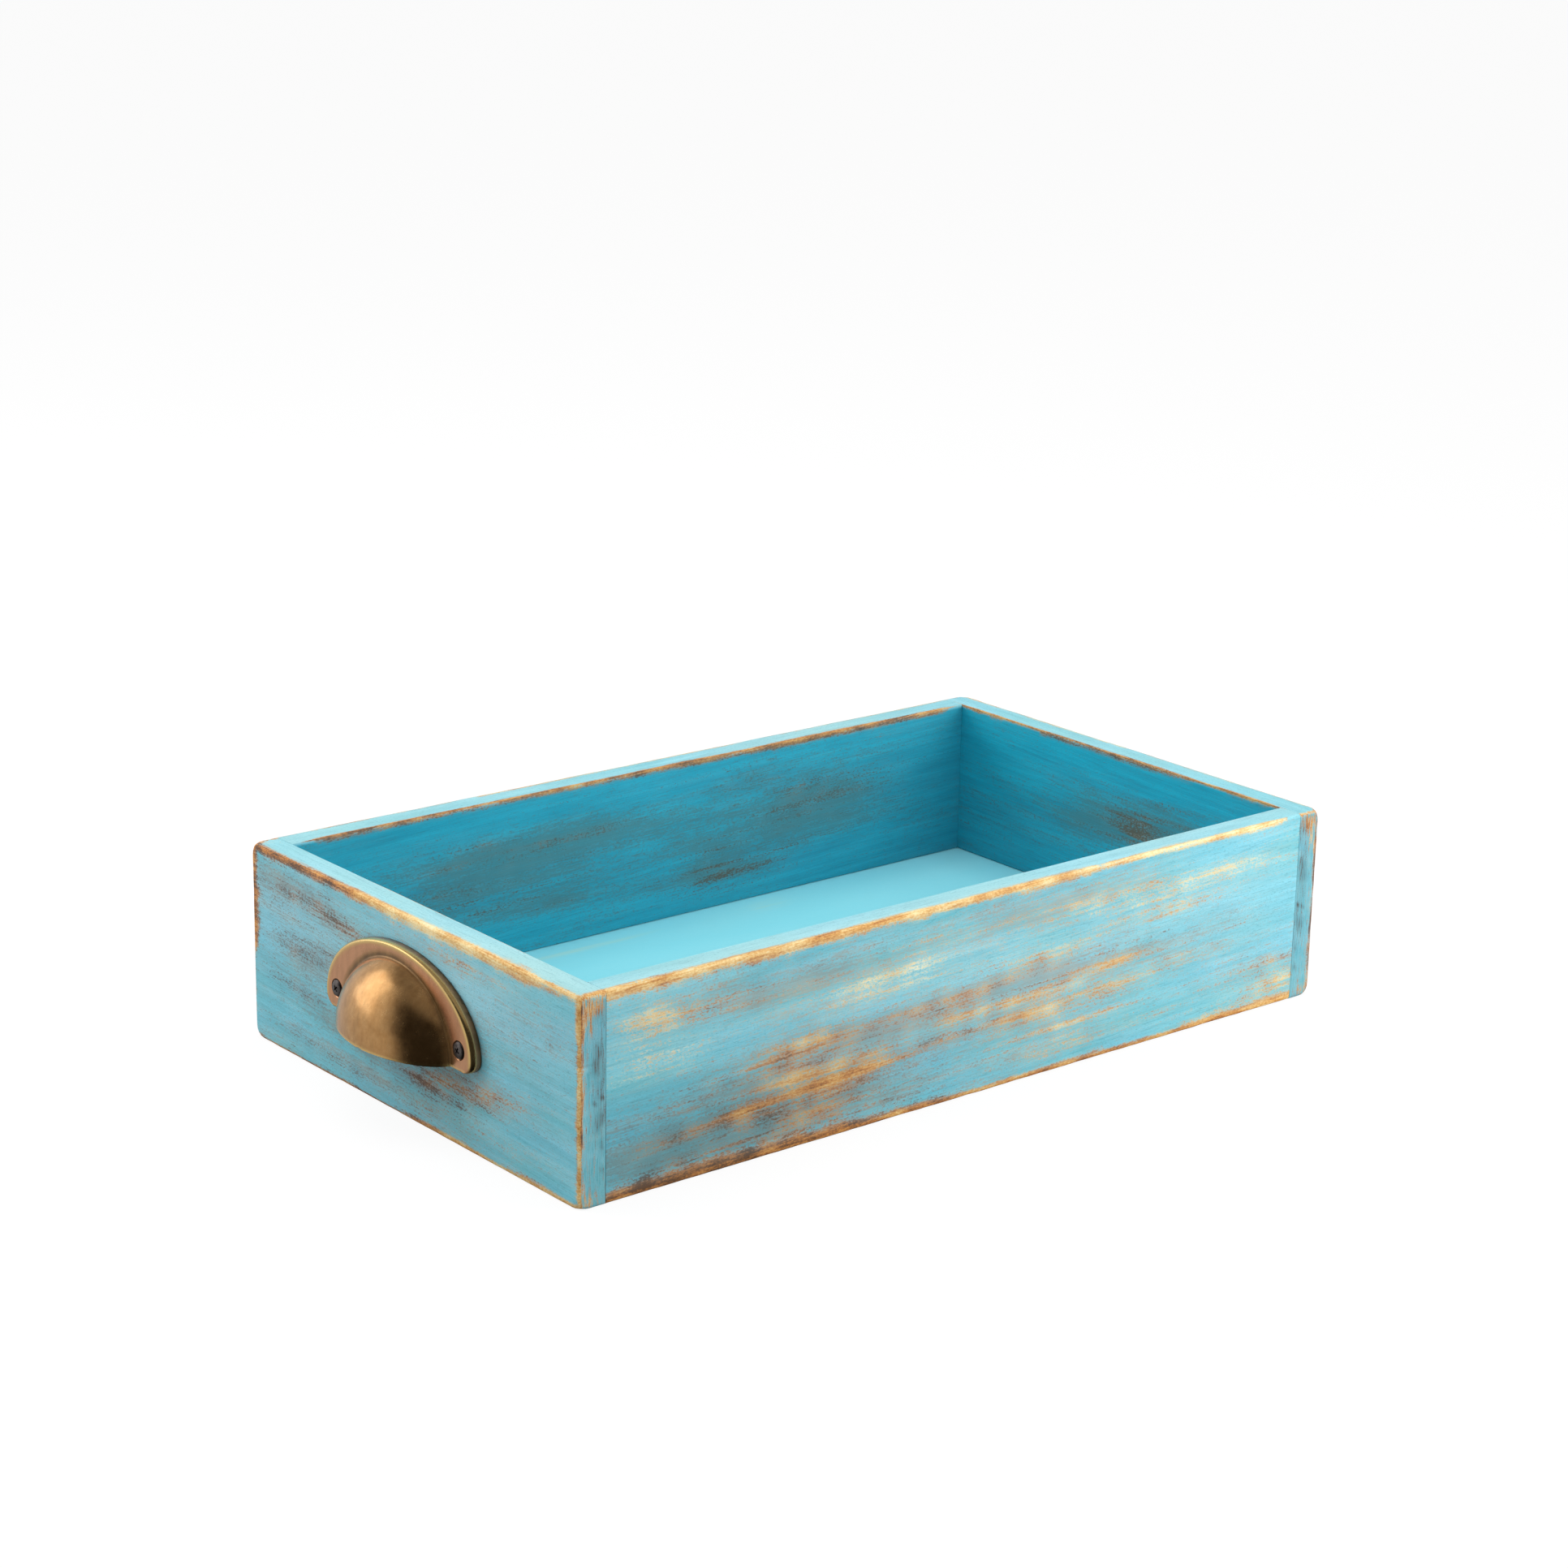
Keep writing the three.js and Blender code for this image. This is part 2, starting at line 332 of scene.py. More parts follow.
def wornPaint(name, grain):
    material, tree, shader = startMaterial(name)
    given = {key: surfaceValue(tree, key) for key in boardValues}
    grains = {}
    for key, (stretch, size, detail, roughness, slopes) in paint["grains"].items():
        slope = paint["grainSlope"] if slopes else 0
        scale = (1000 / stretch, 1000, 1000) if grain == "x" else (1000, 1000 / stretch, 1000)
        turn = (0, slope, 0) if grain == "x" else (-slope, 0, 0)
        grains[key] = grainNoise(tree, objectPoint(tree, scale, turn), size, detail, roughness)
    uprights = grainNoise(tree, objectPoint(tree, paint["uprightScale"]), *paint["uprightGrain"])
    for key in ("fibres", "streaks", "swathes"):
        grains[key] = blendValues(tree, given["endGrain"], grains[key], uprights)

    def mixed(shares):
        total = shares["from"]
        for key in shares:
            if key in grains:
                total = scaled(tree, grains[key], shares[key], total)
        return total

    # bare wood shows where the sanding, given at each vertex, beats a grainy texture
    bareLimit = scaled(tree, given["wear"], *paint["bareLimit"])
    bare = calc(tree, "SUBTRACT", mixed(paint["bareMix"]), bareLimit)
    bare = scaled(tree, bare, *paint["bareContrast"], clamped=True)
    cover = scaled(tree, given["wear"], *paint["bareCover"], clamped=True)
    bare = calc(tree, "MULTIPLY", bare, cover)

    # a thin wash of wood tone round the sanded places
    wash = calc(tree, "MULTIPLY", scaled(tree, grains["swathes"], *paint["washGrain"]), given["wear"])
    wash = scaled(tree, wash, paint["washCover"], clamped=True)

    scuffLimit = scaled(tree, given["scuff"], *paint["scuffLimit"])
    scuffed = calc(tree, "SUBTRACT", mixed(paint["scuffMix"]), scuffLimit)
    scuffed = scaled(tree, scuffed, *paint["scuffContrast"], clamped=True)
    scuffed = scaled(tree, scuffed, paint["scuffCover"])

    # the coat itself, brushed along the grain
    brushing = mixed(paint["brushMix"])
    coat = blendColors(tree, brushing, paint["mid"], paint["light"])
    paleStreaks = scaled(tree, grains["drifts"], *paint["paleStreaks"], clamped=True)
    coat = blendColors(tree, scaled(tree, paleStreaks, paint["paleCover"]), coat, paint["pale"])
    greened = scaled(tree, grains["patches"], paint["greenCover"], clamped=True)
    coat = blendColors(tree, greened, coat, paint["green"])
    # painted light: pale clouds broken by specks
    paintedLightMask = scaled(tree, grains["specks"], *paint["paintedLightGrain"])
    paintedLightMask = calc(tree, "MULTIPLY", paintedLightMask, given["paintedLightAndShade"], clamped=True)
    coat = blendColors(tree, paintedLightMask, coat, paint["pale"])
    # painted sheen: the rim's top whitened as if by a grazing reflection
    coat = blendColors(tree, given["rimSheen"], coat, paint["paintedHighlight"])
    # painted shade: the coat turns a darker, deeper teal where shade falls on the inner faces, the rim and
    # dark clouds
    inner = blendColors(tree, brushing, paint["paintInDeepShade"], paint["paintInShade"])
    coat = blendColors(tree, given["paintedShade"], coat, inner)
    for holes, grainKey, coverKey in (("pits", "fibres", "pitCover"), ("pores", "specks", "poreCover")):
        depth = scaled(tree, grains[grainKey], *paint[holes], clamped=True)
        coat = blendColors(tree, scaled(tree, depth, paint[coverKey]), coat, paint["pore"])

    woodTone = calc(tree, "ADD", given["tone"], mixed(paint["toneMix"]), clamped=True)
    wood = colorSteps(tree, woodTone, paint["wood"])
    # painted shade: bare wood darkened towards olive where shade falls
    woodShading = scaled(tree, given["paintedShade"], paint["woodShadeAmount"])
    wood = blendColors(tree, woodShading, wood, paint["woodShadeColor"])
    scuffColor = blendColors(tree, given["tone"], paint["scuffLight"], paint["scuffDark"])
    # painted shade: scuffs darker where shade falls
    scuffColor = blendColors(tree, given["paintedShade"], scuffColor, paint["scuffInShade"])
    grimy = scaled(tree, grains["fibres"], *paint["grimeGrain"])
    grimy = calc(tree, "MULTIPLY", grimy, given["grime"], clamped=True)

    color = blendColors(tree, wash, coat, wood)
    color = blendColors(tree, scuffed, color, scuffColor)
    color = blendColors(tree, grimy, color, paint["grime"])
    color = blendColors(tree, bare, color, wood)
    rough = scaled(tree, bare, *paint["roughness"])
    plugAll(tree, shader, {
        "Base Color": color,
        "Roughness": scaled(tree, grains["fibres"], paint["fibreRoughness"], rough),
        "Specular IOR Level": scaled(tree, bare, *paint["sheen"]),
    })
    height = scaled(tree, bare, paint["bareDepth"])
    for key, depth in paint["grainDepths"].items():
        height = scaled(tree, grains[key], depth, height)
    addBump(tree, shader, height, *paint["bump"])
    return material


# Each spot: along, height, half length, half height, slope, wear, tone (0 cream to 1 dark), scuff
frontSpots = [
    # the first two, broad and low at the left, are dark scuffs that are partly painted shade
    (-60, 24, 90, 11, 0.05, 0.06, 0.80, 0.22),
    (-118, 15, 66, 13, 0.03, 0.08, 0.84, 0.40),
    (-92, 29, 70, 4.5, 0.055, 0.26, 0.59, 0.30),
    (-10, 41, 80, 4.5, 0.05, 0.26, 0.47, 0.30),
    (78, 50, 66, 5.0, 0.045, 0.26, 0.33, 0.16),
    (-60, 47, 60, 4.0, 0.04, 0.16, 0.31, 0.14),
    (90, 28, 70, 4.0, 0.04, 0.20, 0.43, 0.20),
    (-20, 60, 90, 4.0, 0.03, 0.18, 0.31, 0.20),
    (-100, 61, 62, 6.5, 0.02, 0.24, 0.64, 0.40),
    (-146, 60, 14, 7, 0.00, 0.34, 0.16, 0.10),
    (-140, 47, 22, 5, 0.02, 0.34, 0.12, 0.02),
    (-48, 54, 44, 2.4, 0.05, 0.36, 0.14, 0.04),
    (-20, 50, 34, 4.5, 0.04, 0.28, 0.14, 0.08),
    (70, 59, 34, 5.0, 0.03, 0.46, 0.25, 0.14),
    (124, 61, 30, 4.0, 0.05, 0.44, 0.22, 0.04),
    (24, 66, 60, 8, 0.00, 0.12, 0.48, 0.30),
    (-80, 38, 22, 4.0, 0.03, 0.44, 0.38, 0.22),
    (-20, 37, 84, 4.5, 0.03, 0.20, 0.74, 0.44),
    (66, 36, 34, 2.8, 0.03, 0.42, 0.49, 0.26),
    (10, 31, 46, 2.6, 0.03, 0.44, 0.38, 0.14),
    (-75, 26, 36, 2.8, 0.05, 0.38, 0.37, 0.15),
    (-105, 19, 44, 2.4, 0.06, 0.50, 0.63, 0.30),
    (-48, 22, 42, 2.2, 0.05, 0.48, 0.67, 0.30),
    (25, 25, 60, 4.5, 0.03, 0.40, 0.47, 0.30),
    (-78, 14, 50, 6.5, 0.03, 0.40, 0.68, 0.45),
    (-95, 6, 62, 4.5, 0.01, 0.48, 0.66, 0.42),
    (44, 17, 40, 3.6, 0.03, 0.44, 0.42, 0.22),
    (44, 9, 42, 3, 0.02, 0.38, 0.46, 0.22),
    (152, 8, 26, 4.5, 0.08, 0.54, 0.44, 0.14),
    (142, 18, 34, 5, 0.04, 0.28, 0.57, 0.20),
    (100, 37, 56, 7, 0.03, 0.10, 0.68, 0.20),
]

backSpots = [
    (-110, 52, 40, 5, 0.03, 0.52, 0.34, 0.20),
    (-60, 60, 50, 6, 0.00, 0.28, 0.71, 0.42),
    (10, 44, 60, 4, 0.04, 0.54, 0.48, 0.20),
    (75, 57, 36, 5, -0.02, 0.50, 0.23, 0.10),
    (120, 40, 34, 6, 0.03, 0.36, 0.67, 0.35),
    (-20, 27, 80, 3.2, 0.02, 0.56, 0.69, 0.32),
    (60, 20, 50, 4, -0.02, 0.52, 0.51, 0.25),
    (-110, 16, 46, 6, 0.02, 0.40, 0.71, 0.42),
    (110, 9, 50, 5, 0.02, 0.44, 0.71, 0.40),
    (-30, 8, 50, 4, 0.00, 0.38, 0.57, 0.30),
]

leftSpots = [
    (-66, 54, 46, 17, -0.04, 0.10, 0.84, 0.12),
    (10, 24, 60, 7, -0.03, 0.10, 0.86, 0.22),
    (-70, 64, 34, 7, -0.05, 0.26, 0.82, 0.44),
    (-36, 58, 14, 4, -0.05, 0.40, 0.77, 0.34),
    (-62, 41, 34, 9, -0.05, 0.15, 0.94, 0.34),
    (-55, 25, 34, 5, -0.06, 0.18, 0.90, 0.34),
    (-28, 18, 28, 4.5, -0.06, 0.34, 0.93, 0.46),
    (14, 17, 22, 3.2, -0.04, 0.50, 0.93, 0.48),
    (40, 22, 24, 3.2, -0.04, 0.54, 0.75, 0.44),
    (60, 27, 28, 3.4, 0.03, 0.36, 0.55, 0.25),
    (-25, 8, 50, 4, -0.03, 0.24, 0.82, 0.36),
    (24, 66, 40, 4, -0.04, 0.24, 0.47, 0.32),
    (52, 50, 34, 12, -0.03, 0.06, 0.71, 0.18),
    (50, 9, 40, 4, 0.00, 0.18, 0.53, 0.20),
]

rightSpots = [
    (-66, 60, 30, 6, -0.03, 0.32, 0.67, 0.36),
    (58, 62, 34, 5, 0.03, 0.46, 0.36, 0.20),
    (-62, 34, 32, 6, 0.03, 0.26, 0.90, 0.40),
    (64, 38, 26, 7, -0.03, 0.22, 0.90, 0.36),
    (-20, 18, 40, 4, 0.02, 0.48, 0.80, 0.40),
    (46, 15, 34, 4, -0.02, 0.46, 0.57, 0.32),
    (-70, 12, 26, 4, 0.02, 0.40, 0.71, 0.34),
]

backInnerSpots = [
    (-72, 40, 42, 13, 0.00, 0.20, 0.90, 0.50),
    (-34, 29, 24, 8, 0.03, 0.30, 0.96, 0.52),
    (62, 47, 60, 10, 0.02, 0.20, 0.86, 0.38),
    (-100, 52, 40, 6, 0.02, 0.24, 0.80, 0.40),
    (10, 55, 40, 5, 0.02, 0.22, 0.74, 0.36),
    (85, 52, 26, 10, 0.00, 0.40, 0.73, 0.40),
    (45, 54, 34, 6, -0.02, 0.30, 0.79, 0.40),
    (-48, 60, 34, 7, 0.02, 0.40, 0.71, 0.40),
    (-85, 46, 26, 8, 0.02, 0.36, 0.75, 0.38),
    (-45, 24, 30, 3.6, 0.02, 0.34, 0.93, 0.36),
    (60, 30, 44, 4.5, 0.02, 0.26, 0.95, 0.44),
    (0, 40, 120, 14, 0.00, 0.10, 0.88, 0.30),
    (95, 38, 30, 5, 0.02, 0.30, 0.90, 0.40),
]

rightInnerSpots = [
    (-20, 48, 34, 9, -0.04, 0.26, 0.90, 0.48),
    (40, 40, 50, 12, -0.02, 0.12, 0.88, 0.34),
    (-14, 50, 19, 4.5, -0.06, 0.60, 0.84, 0.40),
    (-36, 60, 34, 1.8, -0.06, 0.58, 0.93, 0.40),
    (-42, 54, 32, 1.6, -0.06, 0.54, 0.93, 0.40),
    (-46, 48, 30, 1.4, -0.06, 0.48, 0.97, 0.40),
    (-16, 42, 24, 3.6, -0.04, 0.52, 0.84, 0.40),
    (14, 46, 14, 10, 0.00, 0.30, 0.91, 0.40),
]

frontInnerSpots = [
    (-60, 50, 40, 8, 0.02, 0.34, 0.77, 0.36),
    (40, 38, 50, 7, -0.02, 0.36, 0.82, 0.38),
    (110, 55, 30, 8, 0.02, 0.30, 0.71, 0.34),
    (-110, 26, 34, 5, 0.02, 0.32, 0.90, 0.38),
]

leftInnerSpots = [
    (-30, 48, 26, 8, 0.04, 0.40, 0.80, 0.38),
    (35, 36, 30, 7, -0.03, 0.38, 0.88, 0.38),
]

# Spots on an end board's end grain: depth from its outer face, height, half width, half height,
# wear, tone and grime
nearStripSpots = [
    (7.6, 54, 1.7, 3.4, 0.06, 0.90, 0.34),
    (6.8, 49.5, 2.0, 3.0, 0.10, 0.90, 0.38),
    (8.6, 45, 2.6, 22, 0.02, 0.90, 0.16),
    (3.4, 66, 2.8, 7, 0.44, 0.46, 0.16),
    (7.0, 71, 4.0, 4, 0.60, 0.66, 0.34),
    (8.8, 38.5, 0.9, 1.0, 0.06, 0.95, 0.60),
    (6.2, 37, 0.8, 0.8, 0.06, 0.95, 0.45),
    (7.4, 29.5, 1.4, 3.4, 0.06, 0.95, 0.36),
    (9.6, 31, 0.8, 2.6, 0.06, 0.95, 0.40),
    (9.4, 21, 0.8, 1.6, 0.06, 0.95, 0.40),
    (9.0, 13, 0.8, 1.4, 0.06, 0.95, 0.36),
    (4.0, 3, 4.0, 3, 0.40, 0.50, 0.06),
]

farStripSpots = [
    (4.0, 64, 4.0, 7, 0.10, 0.85, 0.30),
    (8.0, 52, 2.6, 10, 0.05, 0.90, 0.22),
    (2.0, 48, 1.6, 5, 0.20, 0.85, 0.42),
    (1.6, 36, 1.2, 5, 0.16, 0.80, 0.26),
    (6.0, 30, 4.0, 10, 0.03, 0.80, 0.08),
    (8.6, 17, 2.0, 6, 0.06, 0.70, 0.20),
    (7.4, 3.5, 3.6, 3.5, 0.34, 0.90, 0.60),
    (9.6, 68, 1.2, 4, 0.20, 0.60, 0.24),
]

# Sanded edges, as stretches from, to, reach in mm and tone
frontEdges = {
    "top": [(-176, -20, 3.6, 0.50), (-26, 60, 2.8, 0.46), (54, 156, 2.2, 0.36)],
    "bottom": [(-166, -50, 5.0, 0.80), (-60, -10, 3.4, 0.72), (-34, 110, 2.2, 0.64), (100, 178, 3.4, 0.60)],
    "innerTop": [(-80, 150, 0.7, 0.40)],
}

backEdges = {
    "top": [(-172, -60, 2.6, 0.44), (-60, 80, 3.2, 0.42), (80, 172, 2.2, 0.55)],
    "bottom": [(-172, -60, 2.6, 0.72), (-60, 172, 3.6, 0.78)],
    "innerTop": [(-156, 20, 2.2, 0.76), (10, 156, 1.8, 0.74)],
}

leftEdges = {
    "top": [(-120, -34, 3.4, 0.84), (-44, -14, 3.6, 0.60), (-24, 80, 4.2, 0.40), (70, 118, 2.8, 0.50)],
    "bottom": [(-120, 10, 1.3, 0.76), (0, 120, 2.2, 0.46)],
    "innerTop": [(-40, 60, 0.5, 0.4)],
    "nearCorner": [(-20, 62, 1.4, 0.42), (58, 100, 2.4, 0.50)],
    "farCorner": [(34, 100, 4.6, 0.80), (-20, 40, 1.2, 0.7)],
    "stripTop": [(-20, 30, 2.2, 0.62)],
}

rightEdges = {
    "top": [(-120, 0, 2.2, 0.50), (-4, 120, 3.0, 0.42)],
    "bottom": [(-120, 120, 2.2, 0.62)],
    "innerTop": [(-90, -40, 1.2, 0.7), (-48, 48, 1.9, 0.78), (40, 92, 1.2, 0.70)],
    "nearCorner": [(-20, 100, 2.0, 0.56)],
    "farCorner": [(-20, 100, 1.9, 0.72)],
    "stripTop": [(-20, 30, 1.2, 0.66)],
}

boards = {
    "cornerRadius": 1.5 * mm,
    "easedEdge": 1.2 * mm,
    "innerRimEdge": 0.6 * mm,
    "seamEdge": 0.15 * mm,
    "seamGap": 0.04 * mm,
    "grooveClearance": 0.3 * mm,
    "grooveDepth": 5.3 * mm,
    "grooveMargin": 0.4 * mm,
    "meshStep": 1.6 * mm,
    "cornerSanding": 4.4 * mm,
    "waviness": 0.10 * mm,
    "edgeWaviness": 0.10 * mm,
}

grooveLow = panelLow.z - boards["grooveClearance"]
grooveHigh = panelHigh.z + boards["grooveClearance"]

# How the marks lie on a board. Reaches are in mm, and sizes of unevenness in metres.
marks = {
    "wear": (0.14, 0.10),
    "scuff": (0.22, 0.30),
    "tone": 0.5,
    "toneSpread": 0.24,
    "spotRaggedness": 0.35,
    "spotWear": 0.88,
    "spotEnd": 6,
    "faceReach": 3.0,
    "outerFade": (0.8, 3.0),
    "endGrainWear": 0.10,
    "endGrainScuff": 0.34,
    "endGrainBand": 0.6,
    "endGrainFrom": 0.9,
    "endGrainClear": 2.6,
    "nearStripGrime": 0.26,
    "farStripGrime": 0.02,
    "innerWear": (0.58, -0.04),
    "innerScuff": 0.86,
    "innerTone": 0.08,
    "innerShadeTop": (0.2, 1.6),
    "rim": (0.15, 1.0),
    "rimWear": 0.10,
    "rimScuff": 0.20,
    "rimBandTop": 0.9,
    "rimBandReach": 0.55,
    "stretchFade": 10,
    "bandStart": 1.3,
    "bandCover": 1.8,
    "bandLeast": 0.28,
    "topBandWear": 0.76,
    "bandWear": 0.92,
    "cornerCore": 1.2,
    "cornerCoreWidth": 0.40,
    "cornerCoreTone": 0.36,
}


def lineOf(value, pair):
    gain, offset = pair
    return value * gain + offset


def bandAt(stretches, along):
    # reach and tone of an edge's wear at a place along it, fading where a stretch ends
    reach = 0.0
    toneSum = 0.0
    weightSum = 0.0
    fade = marks["stretchFade"]
    for start, end, width, stretchTone in stretches:
        amount = smoothStep(start - fade, start + fade, along)
        amount *= 1 - smoothStep(end - fade, end + fade, along)
        reach = max(reach, amount * width)
        toneSum += stretchTone * amount
        weightSum += amount
    return reach, toneSum / weightSum if weightSum > 1e-3 else 0.4


def addSpots(spots, along, height, seed):
    wear = 0.0
    scuff = 0.0
    toneSum = 0.0
    weightSum = 0.0
    ragged = 1 + marks["spotRaggedness"] * waver((along * mm, 0, height * mm * 3), 0.02, seed)
    for place, level, halfLength, halfHeight, slope, spotWear, spotTone, spotScuff in spots:
        across = (height - level - slope * (along - place)) / halfHeight
        distance = ((along - place) / halfLength) ** 2 + across ** 2
        if distance > marks["spotEnd"]:
            continue
        weight = math.exp(-distance) * ragged
        wear += marks["spotWear"] * spotWear * weight
        scuff += spotScuff * weight
        toneSum += spotTone * weight * (spotWear + 0.05)
        weightSum += weight * (spotWear + 0.05)
    return wear, scuff, toneSum / weightSum if weightSum > 1e-3 else marks["tone"]


def stripSpots(spots, depth, height, grime):
    wear = marks["endGrainWear"]
    toneSum = 0.05
    weightSum = 0.1
    for place, level, halfWidth, halfHeight, spotWear, spotTone, spotGrime in spots:
        distance = ((depth - place) / halfWidth) ** 2 + ((height - level) / halfHeight) ** 2
        weight = math.exp(-distance ** 1.5)
        wear += spotWear * weight
        grime += spotGrime * weight
        toneSum += spotTone * weight
        weightSum += weight
    return wear, grime, toneSum / weightSum


def edgeBand(first, second, reach):
    # full on an edge, fading to 0 where either face is further away than the reach
    return clamp(marks["bandStart"] - max(first, second) / reach) if reach > 0 else 0.0


def paintBoard(bm, look, alongAxis, span, outerPlane, innerPlane, top, turned):
    # writes what the paint needs at every vertex of a board that faces -Y (along X) or -X (along Y)
    layers = {key: bm.verts.layers.float.new(key) for key in boardValues}
    acrossAxis = 1 - alongAxis
    sign = 1 if alongAxis == 0 else -1
    seed = look["seed"]
    edges = look["edges"]
    faceReach = marks["faceReach"]
    for vert in bm.verts:
        co = vert.co
        along = sign * co[alongAxis] / mm
        height = co.z / mm
        outer = abs(co[acrossAxis] - outerPlane) / mm
        inner = abs(co[acrossAxis] - innerPlane) / mm
        fromTop = top / mm - height
        longPoint = (co.x, co.y * 4, co.z * 4) if alongAxis == 0 else (co.x * 4, co.y, co.z * 4)
        ragged = 1 + 0.26 * waver(longPoint, 0.022, seed) + 0.24 * waver(co, 0.004, seed + 3)
        wear = lineOf(waver(longPoint, 0.05, seed + 7), marks["wear"])
        scuff = lineOf(waver(longPoint, 0.06, seed + 9), marks["scuff"])
        tone = marks["tone"]
        paintedShade = 0.0
        paintedLightAndShade = 0.0
        grime = 0.0
        onEnd = alongAxis == 1 and span - abs(along) < marks["endGrainBand"]
        endGrain = onEnd and outer > marks["endGrainFrom"]
        if endGrain:
            nearEnd = (along > 0) != turned
            spots = nearStripSpots if nearEnd else farStripSpots
            base = marks["nearStripGrime"] if nearEnd else marks["farStripGrime"]
            wear, grime, tone = stripSpots(spots, outer, height, base)
            scuff = marks["endGrainScuff"]
        elif outer < faceReach:
            spotWear, spotScuff, tone = addSpots(look["outer"], along, height, seed)
            fade = 1 - smoothStep(*marks["outerFade"], outer)
            wear += spotWear * fade
            scuff += spotScuff * fade
        elif inner < faceReach:
            spotWear, spotScuff, spotTone = addSpots(look["inner"], along, height, seed + 20)
            wear += lineOf(spotWear, marks["innerWear"])
            scuff += marks["innerScuff"] * spotScuff
            tone = spotTone + marks["innerTone"]
            # painted shade on the inner face, fading out near the rim
            paintedShade = look["innerShade"] * (1 - smoothStep(0.0, faceReach, inner))
            paintedShade *= smoothStep(*marks["innerShadeTop"], fromTop)
        if outer < faceReach:
            # pale clouds are painted light, and clouds below 0 painted shade
            for place, level, halfLength, halfHeight, amount in look["paintedLightAndShade"]:
                distance = ((along - place) / halfLength) ** 2 + ((height - level) / halfHeight) ** 2
                paintedLightAndShade += max(amount, 0) * math.exp(-distance)
                paintedShade += max(-amount, 0) * math.exp(-distance)
        onTop = 1 - smoothStep(*marks["rim"], fromTop)
        # painted shade on the rim's top, as much as the look's rimShade
        paintedShade += (look["rimShade"] - paintedShade) * onTop
        wear *= 1 - (1 - marks["rimWear"]) * onTop
        scuff *= 1 - (1 - marks["rimScuff"]) * onTop
        grime *= 1 - onTop
        for name, first, second, place in (
            ("top", fromTop, outer, along),
            ("bottom", height, outer, along),
            ("innerTop", fromTop, inner, along),
            ("nearCorner", span - along, outer, height),
            ("farCorner", along + span, outer, height),
            ("stripTop", fromTop, span - abs(along), outer),
        ):
            onStrip = onEnd and outer > marks["endGrainClear"]
            if name not in edges or (onStrip and name in ("top", "bottom")):
                continue
            reach, bandTone = bandAt(edges[name], place)
            if name in ("top", "innerTop") and fromTop < marks["rimBandTop"]:
                reach *= marks["rimBandReach"]
            band = edgeBand(first, second, reach * ragged)
            if band <= 0:
                continue
            if name in ("nearCorner", "farCorner"):
                fromCore = (second - marks["cornerCore"]) / marks["cornerCoreWidth"]
                bandTone += marks["cornerCoreTone"] * math.exp(-fromCore ** 2)
            share = clamp(band * marks["bandCover"])
            tone = tone * (1 - share) + bandTone * share
            strength = marks["topBandWear" if name in ("top", "innerTop", "stripTop") else "bandWear"]
            wear = max(wear, marks["bandLeast"] + band * strength)
            scuff *= 1 - share
            grime *= 1 - share
        tone += marks["toneSpread"] * waver(co, 0.008, seed + 5)
        values = {
            "wear": clamp(wear, 0, 1.15), "tone": clamp(tone), "scuff": clamp(scuff), "paintedShade": clamp(paintedShade),
            "grime": clamp(grime), "paintedLightAndShade": clamp(paintedLightAndShade), "endGrain": float(endGrain),
            # painted sheen on the rim's top, uneven along the board
            "rimSheen": look["rimSheenAmount"] * onTop * (1 + 0.8 * waver(longPoint, 0.09, seed + 15)),
        }
        for key, value in values.items():
            vert[layers[key]] = value


def sandCorners(bm, halfWidth, outer, top):
    # an end board's two outer corners, at the top and at the bottom, are rubbed round
    reach = boards["cornerSanding"]
    for vert in bm.verts:
        co = vert.co
        gaps = (halfWidth - abs(co.y), abs(co.x - outer), min(co.z, top - co.z))
        if max(gaps) > reach:
            continue
        local = Vector([reach - gap for gap in gaps]) / reach
        size = sum(abs(part) ** 4 for part in local) ** 0.25
        if size <= 1:
            continue
        local = local.lerp(local / size, smoothStep(0.0, 0.75, min(local)))
        moved = [reach - part * reach for part in local]
        co.x = outer + moved[1]
        co.y = math.copysign(halfWidth - moved[0], co.y)
        co.z = moved[2] if co.z < top / 2 else top - moved[2]


def roughenBoard(bm, seed, nicks):
    # slight hand-worked unevenness, a little more where the wood is bare, and nicks in the edges
    wearLayer = bm.verts.layers.float["wear"]
    bm.normal_update()
    for vert in bm.verts:
        co = vert.co
        offset = boards["waviness"] * waver(co, 0.022, seed)
        bareness = smoothStep(0.75, 1.1, vert[wearLayer])
        offset -= boards["edgeWaviness"] * bareness * (0.5 + waver(co, 0.006, seed + 2))
        for place, radii, depth in nicks:
            gaps = [(co[index] - place[index]) / radii[index] for index in range(3)]
            offset -= depth * math.exp(-sum(gap ** 2 for gap in gaps))
        vert.co = co + vert.normal * offset


def cutGroove(bm, axis, stop=None):
    # the groove for the floor panel, in the face that looks along the axis, stopped short of its ends
    cutAcross(bm, 2, (grooveLow, grooveHigh))
    if stop:
        cutAcross(bm, 1 - axis, (-stop, stop))
    strips = []
    for face in bm.faces:
        middle = face.calc_center_median()
        within = stop is None or abs(middle[1 - axis]) < stop
        if face.normal[axis] > 0.9 and grooveLow < middle.z < grooveHigh and within:
            strips.append(face)
    inward = Vector((0, 0, 0))
    inward[axis] = -boards["grooveDepth"]
    for face in strips:
        made = bmesh.ops.extrude_face_region(bm, geom=[face])
        movers = [item for item in made["geom"] if isinstance(item, bmesh.types.BMVert)]
        bmesh.ops.translate(bm, vec=inward, verts=movers)
        bmesh.ops.delete(bm, geom=[face], context="FACES")


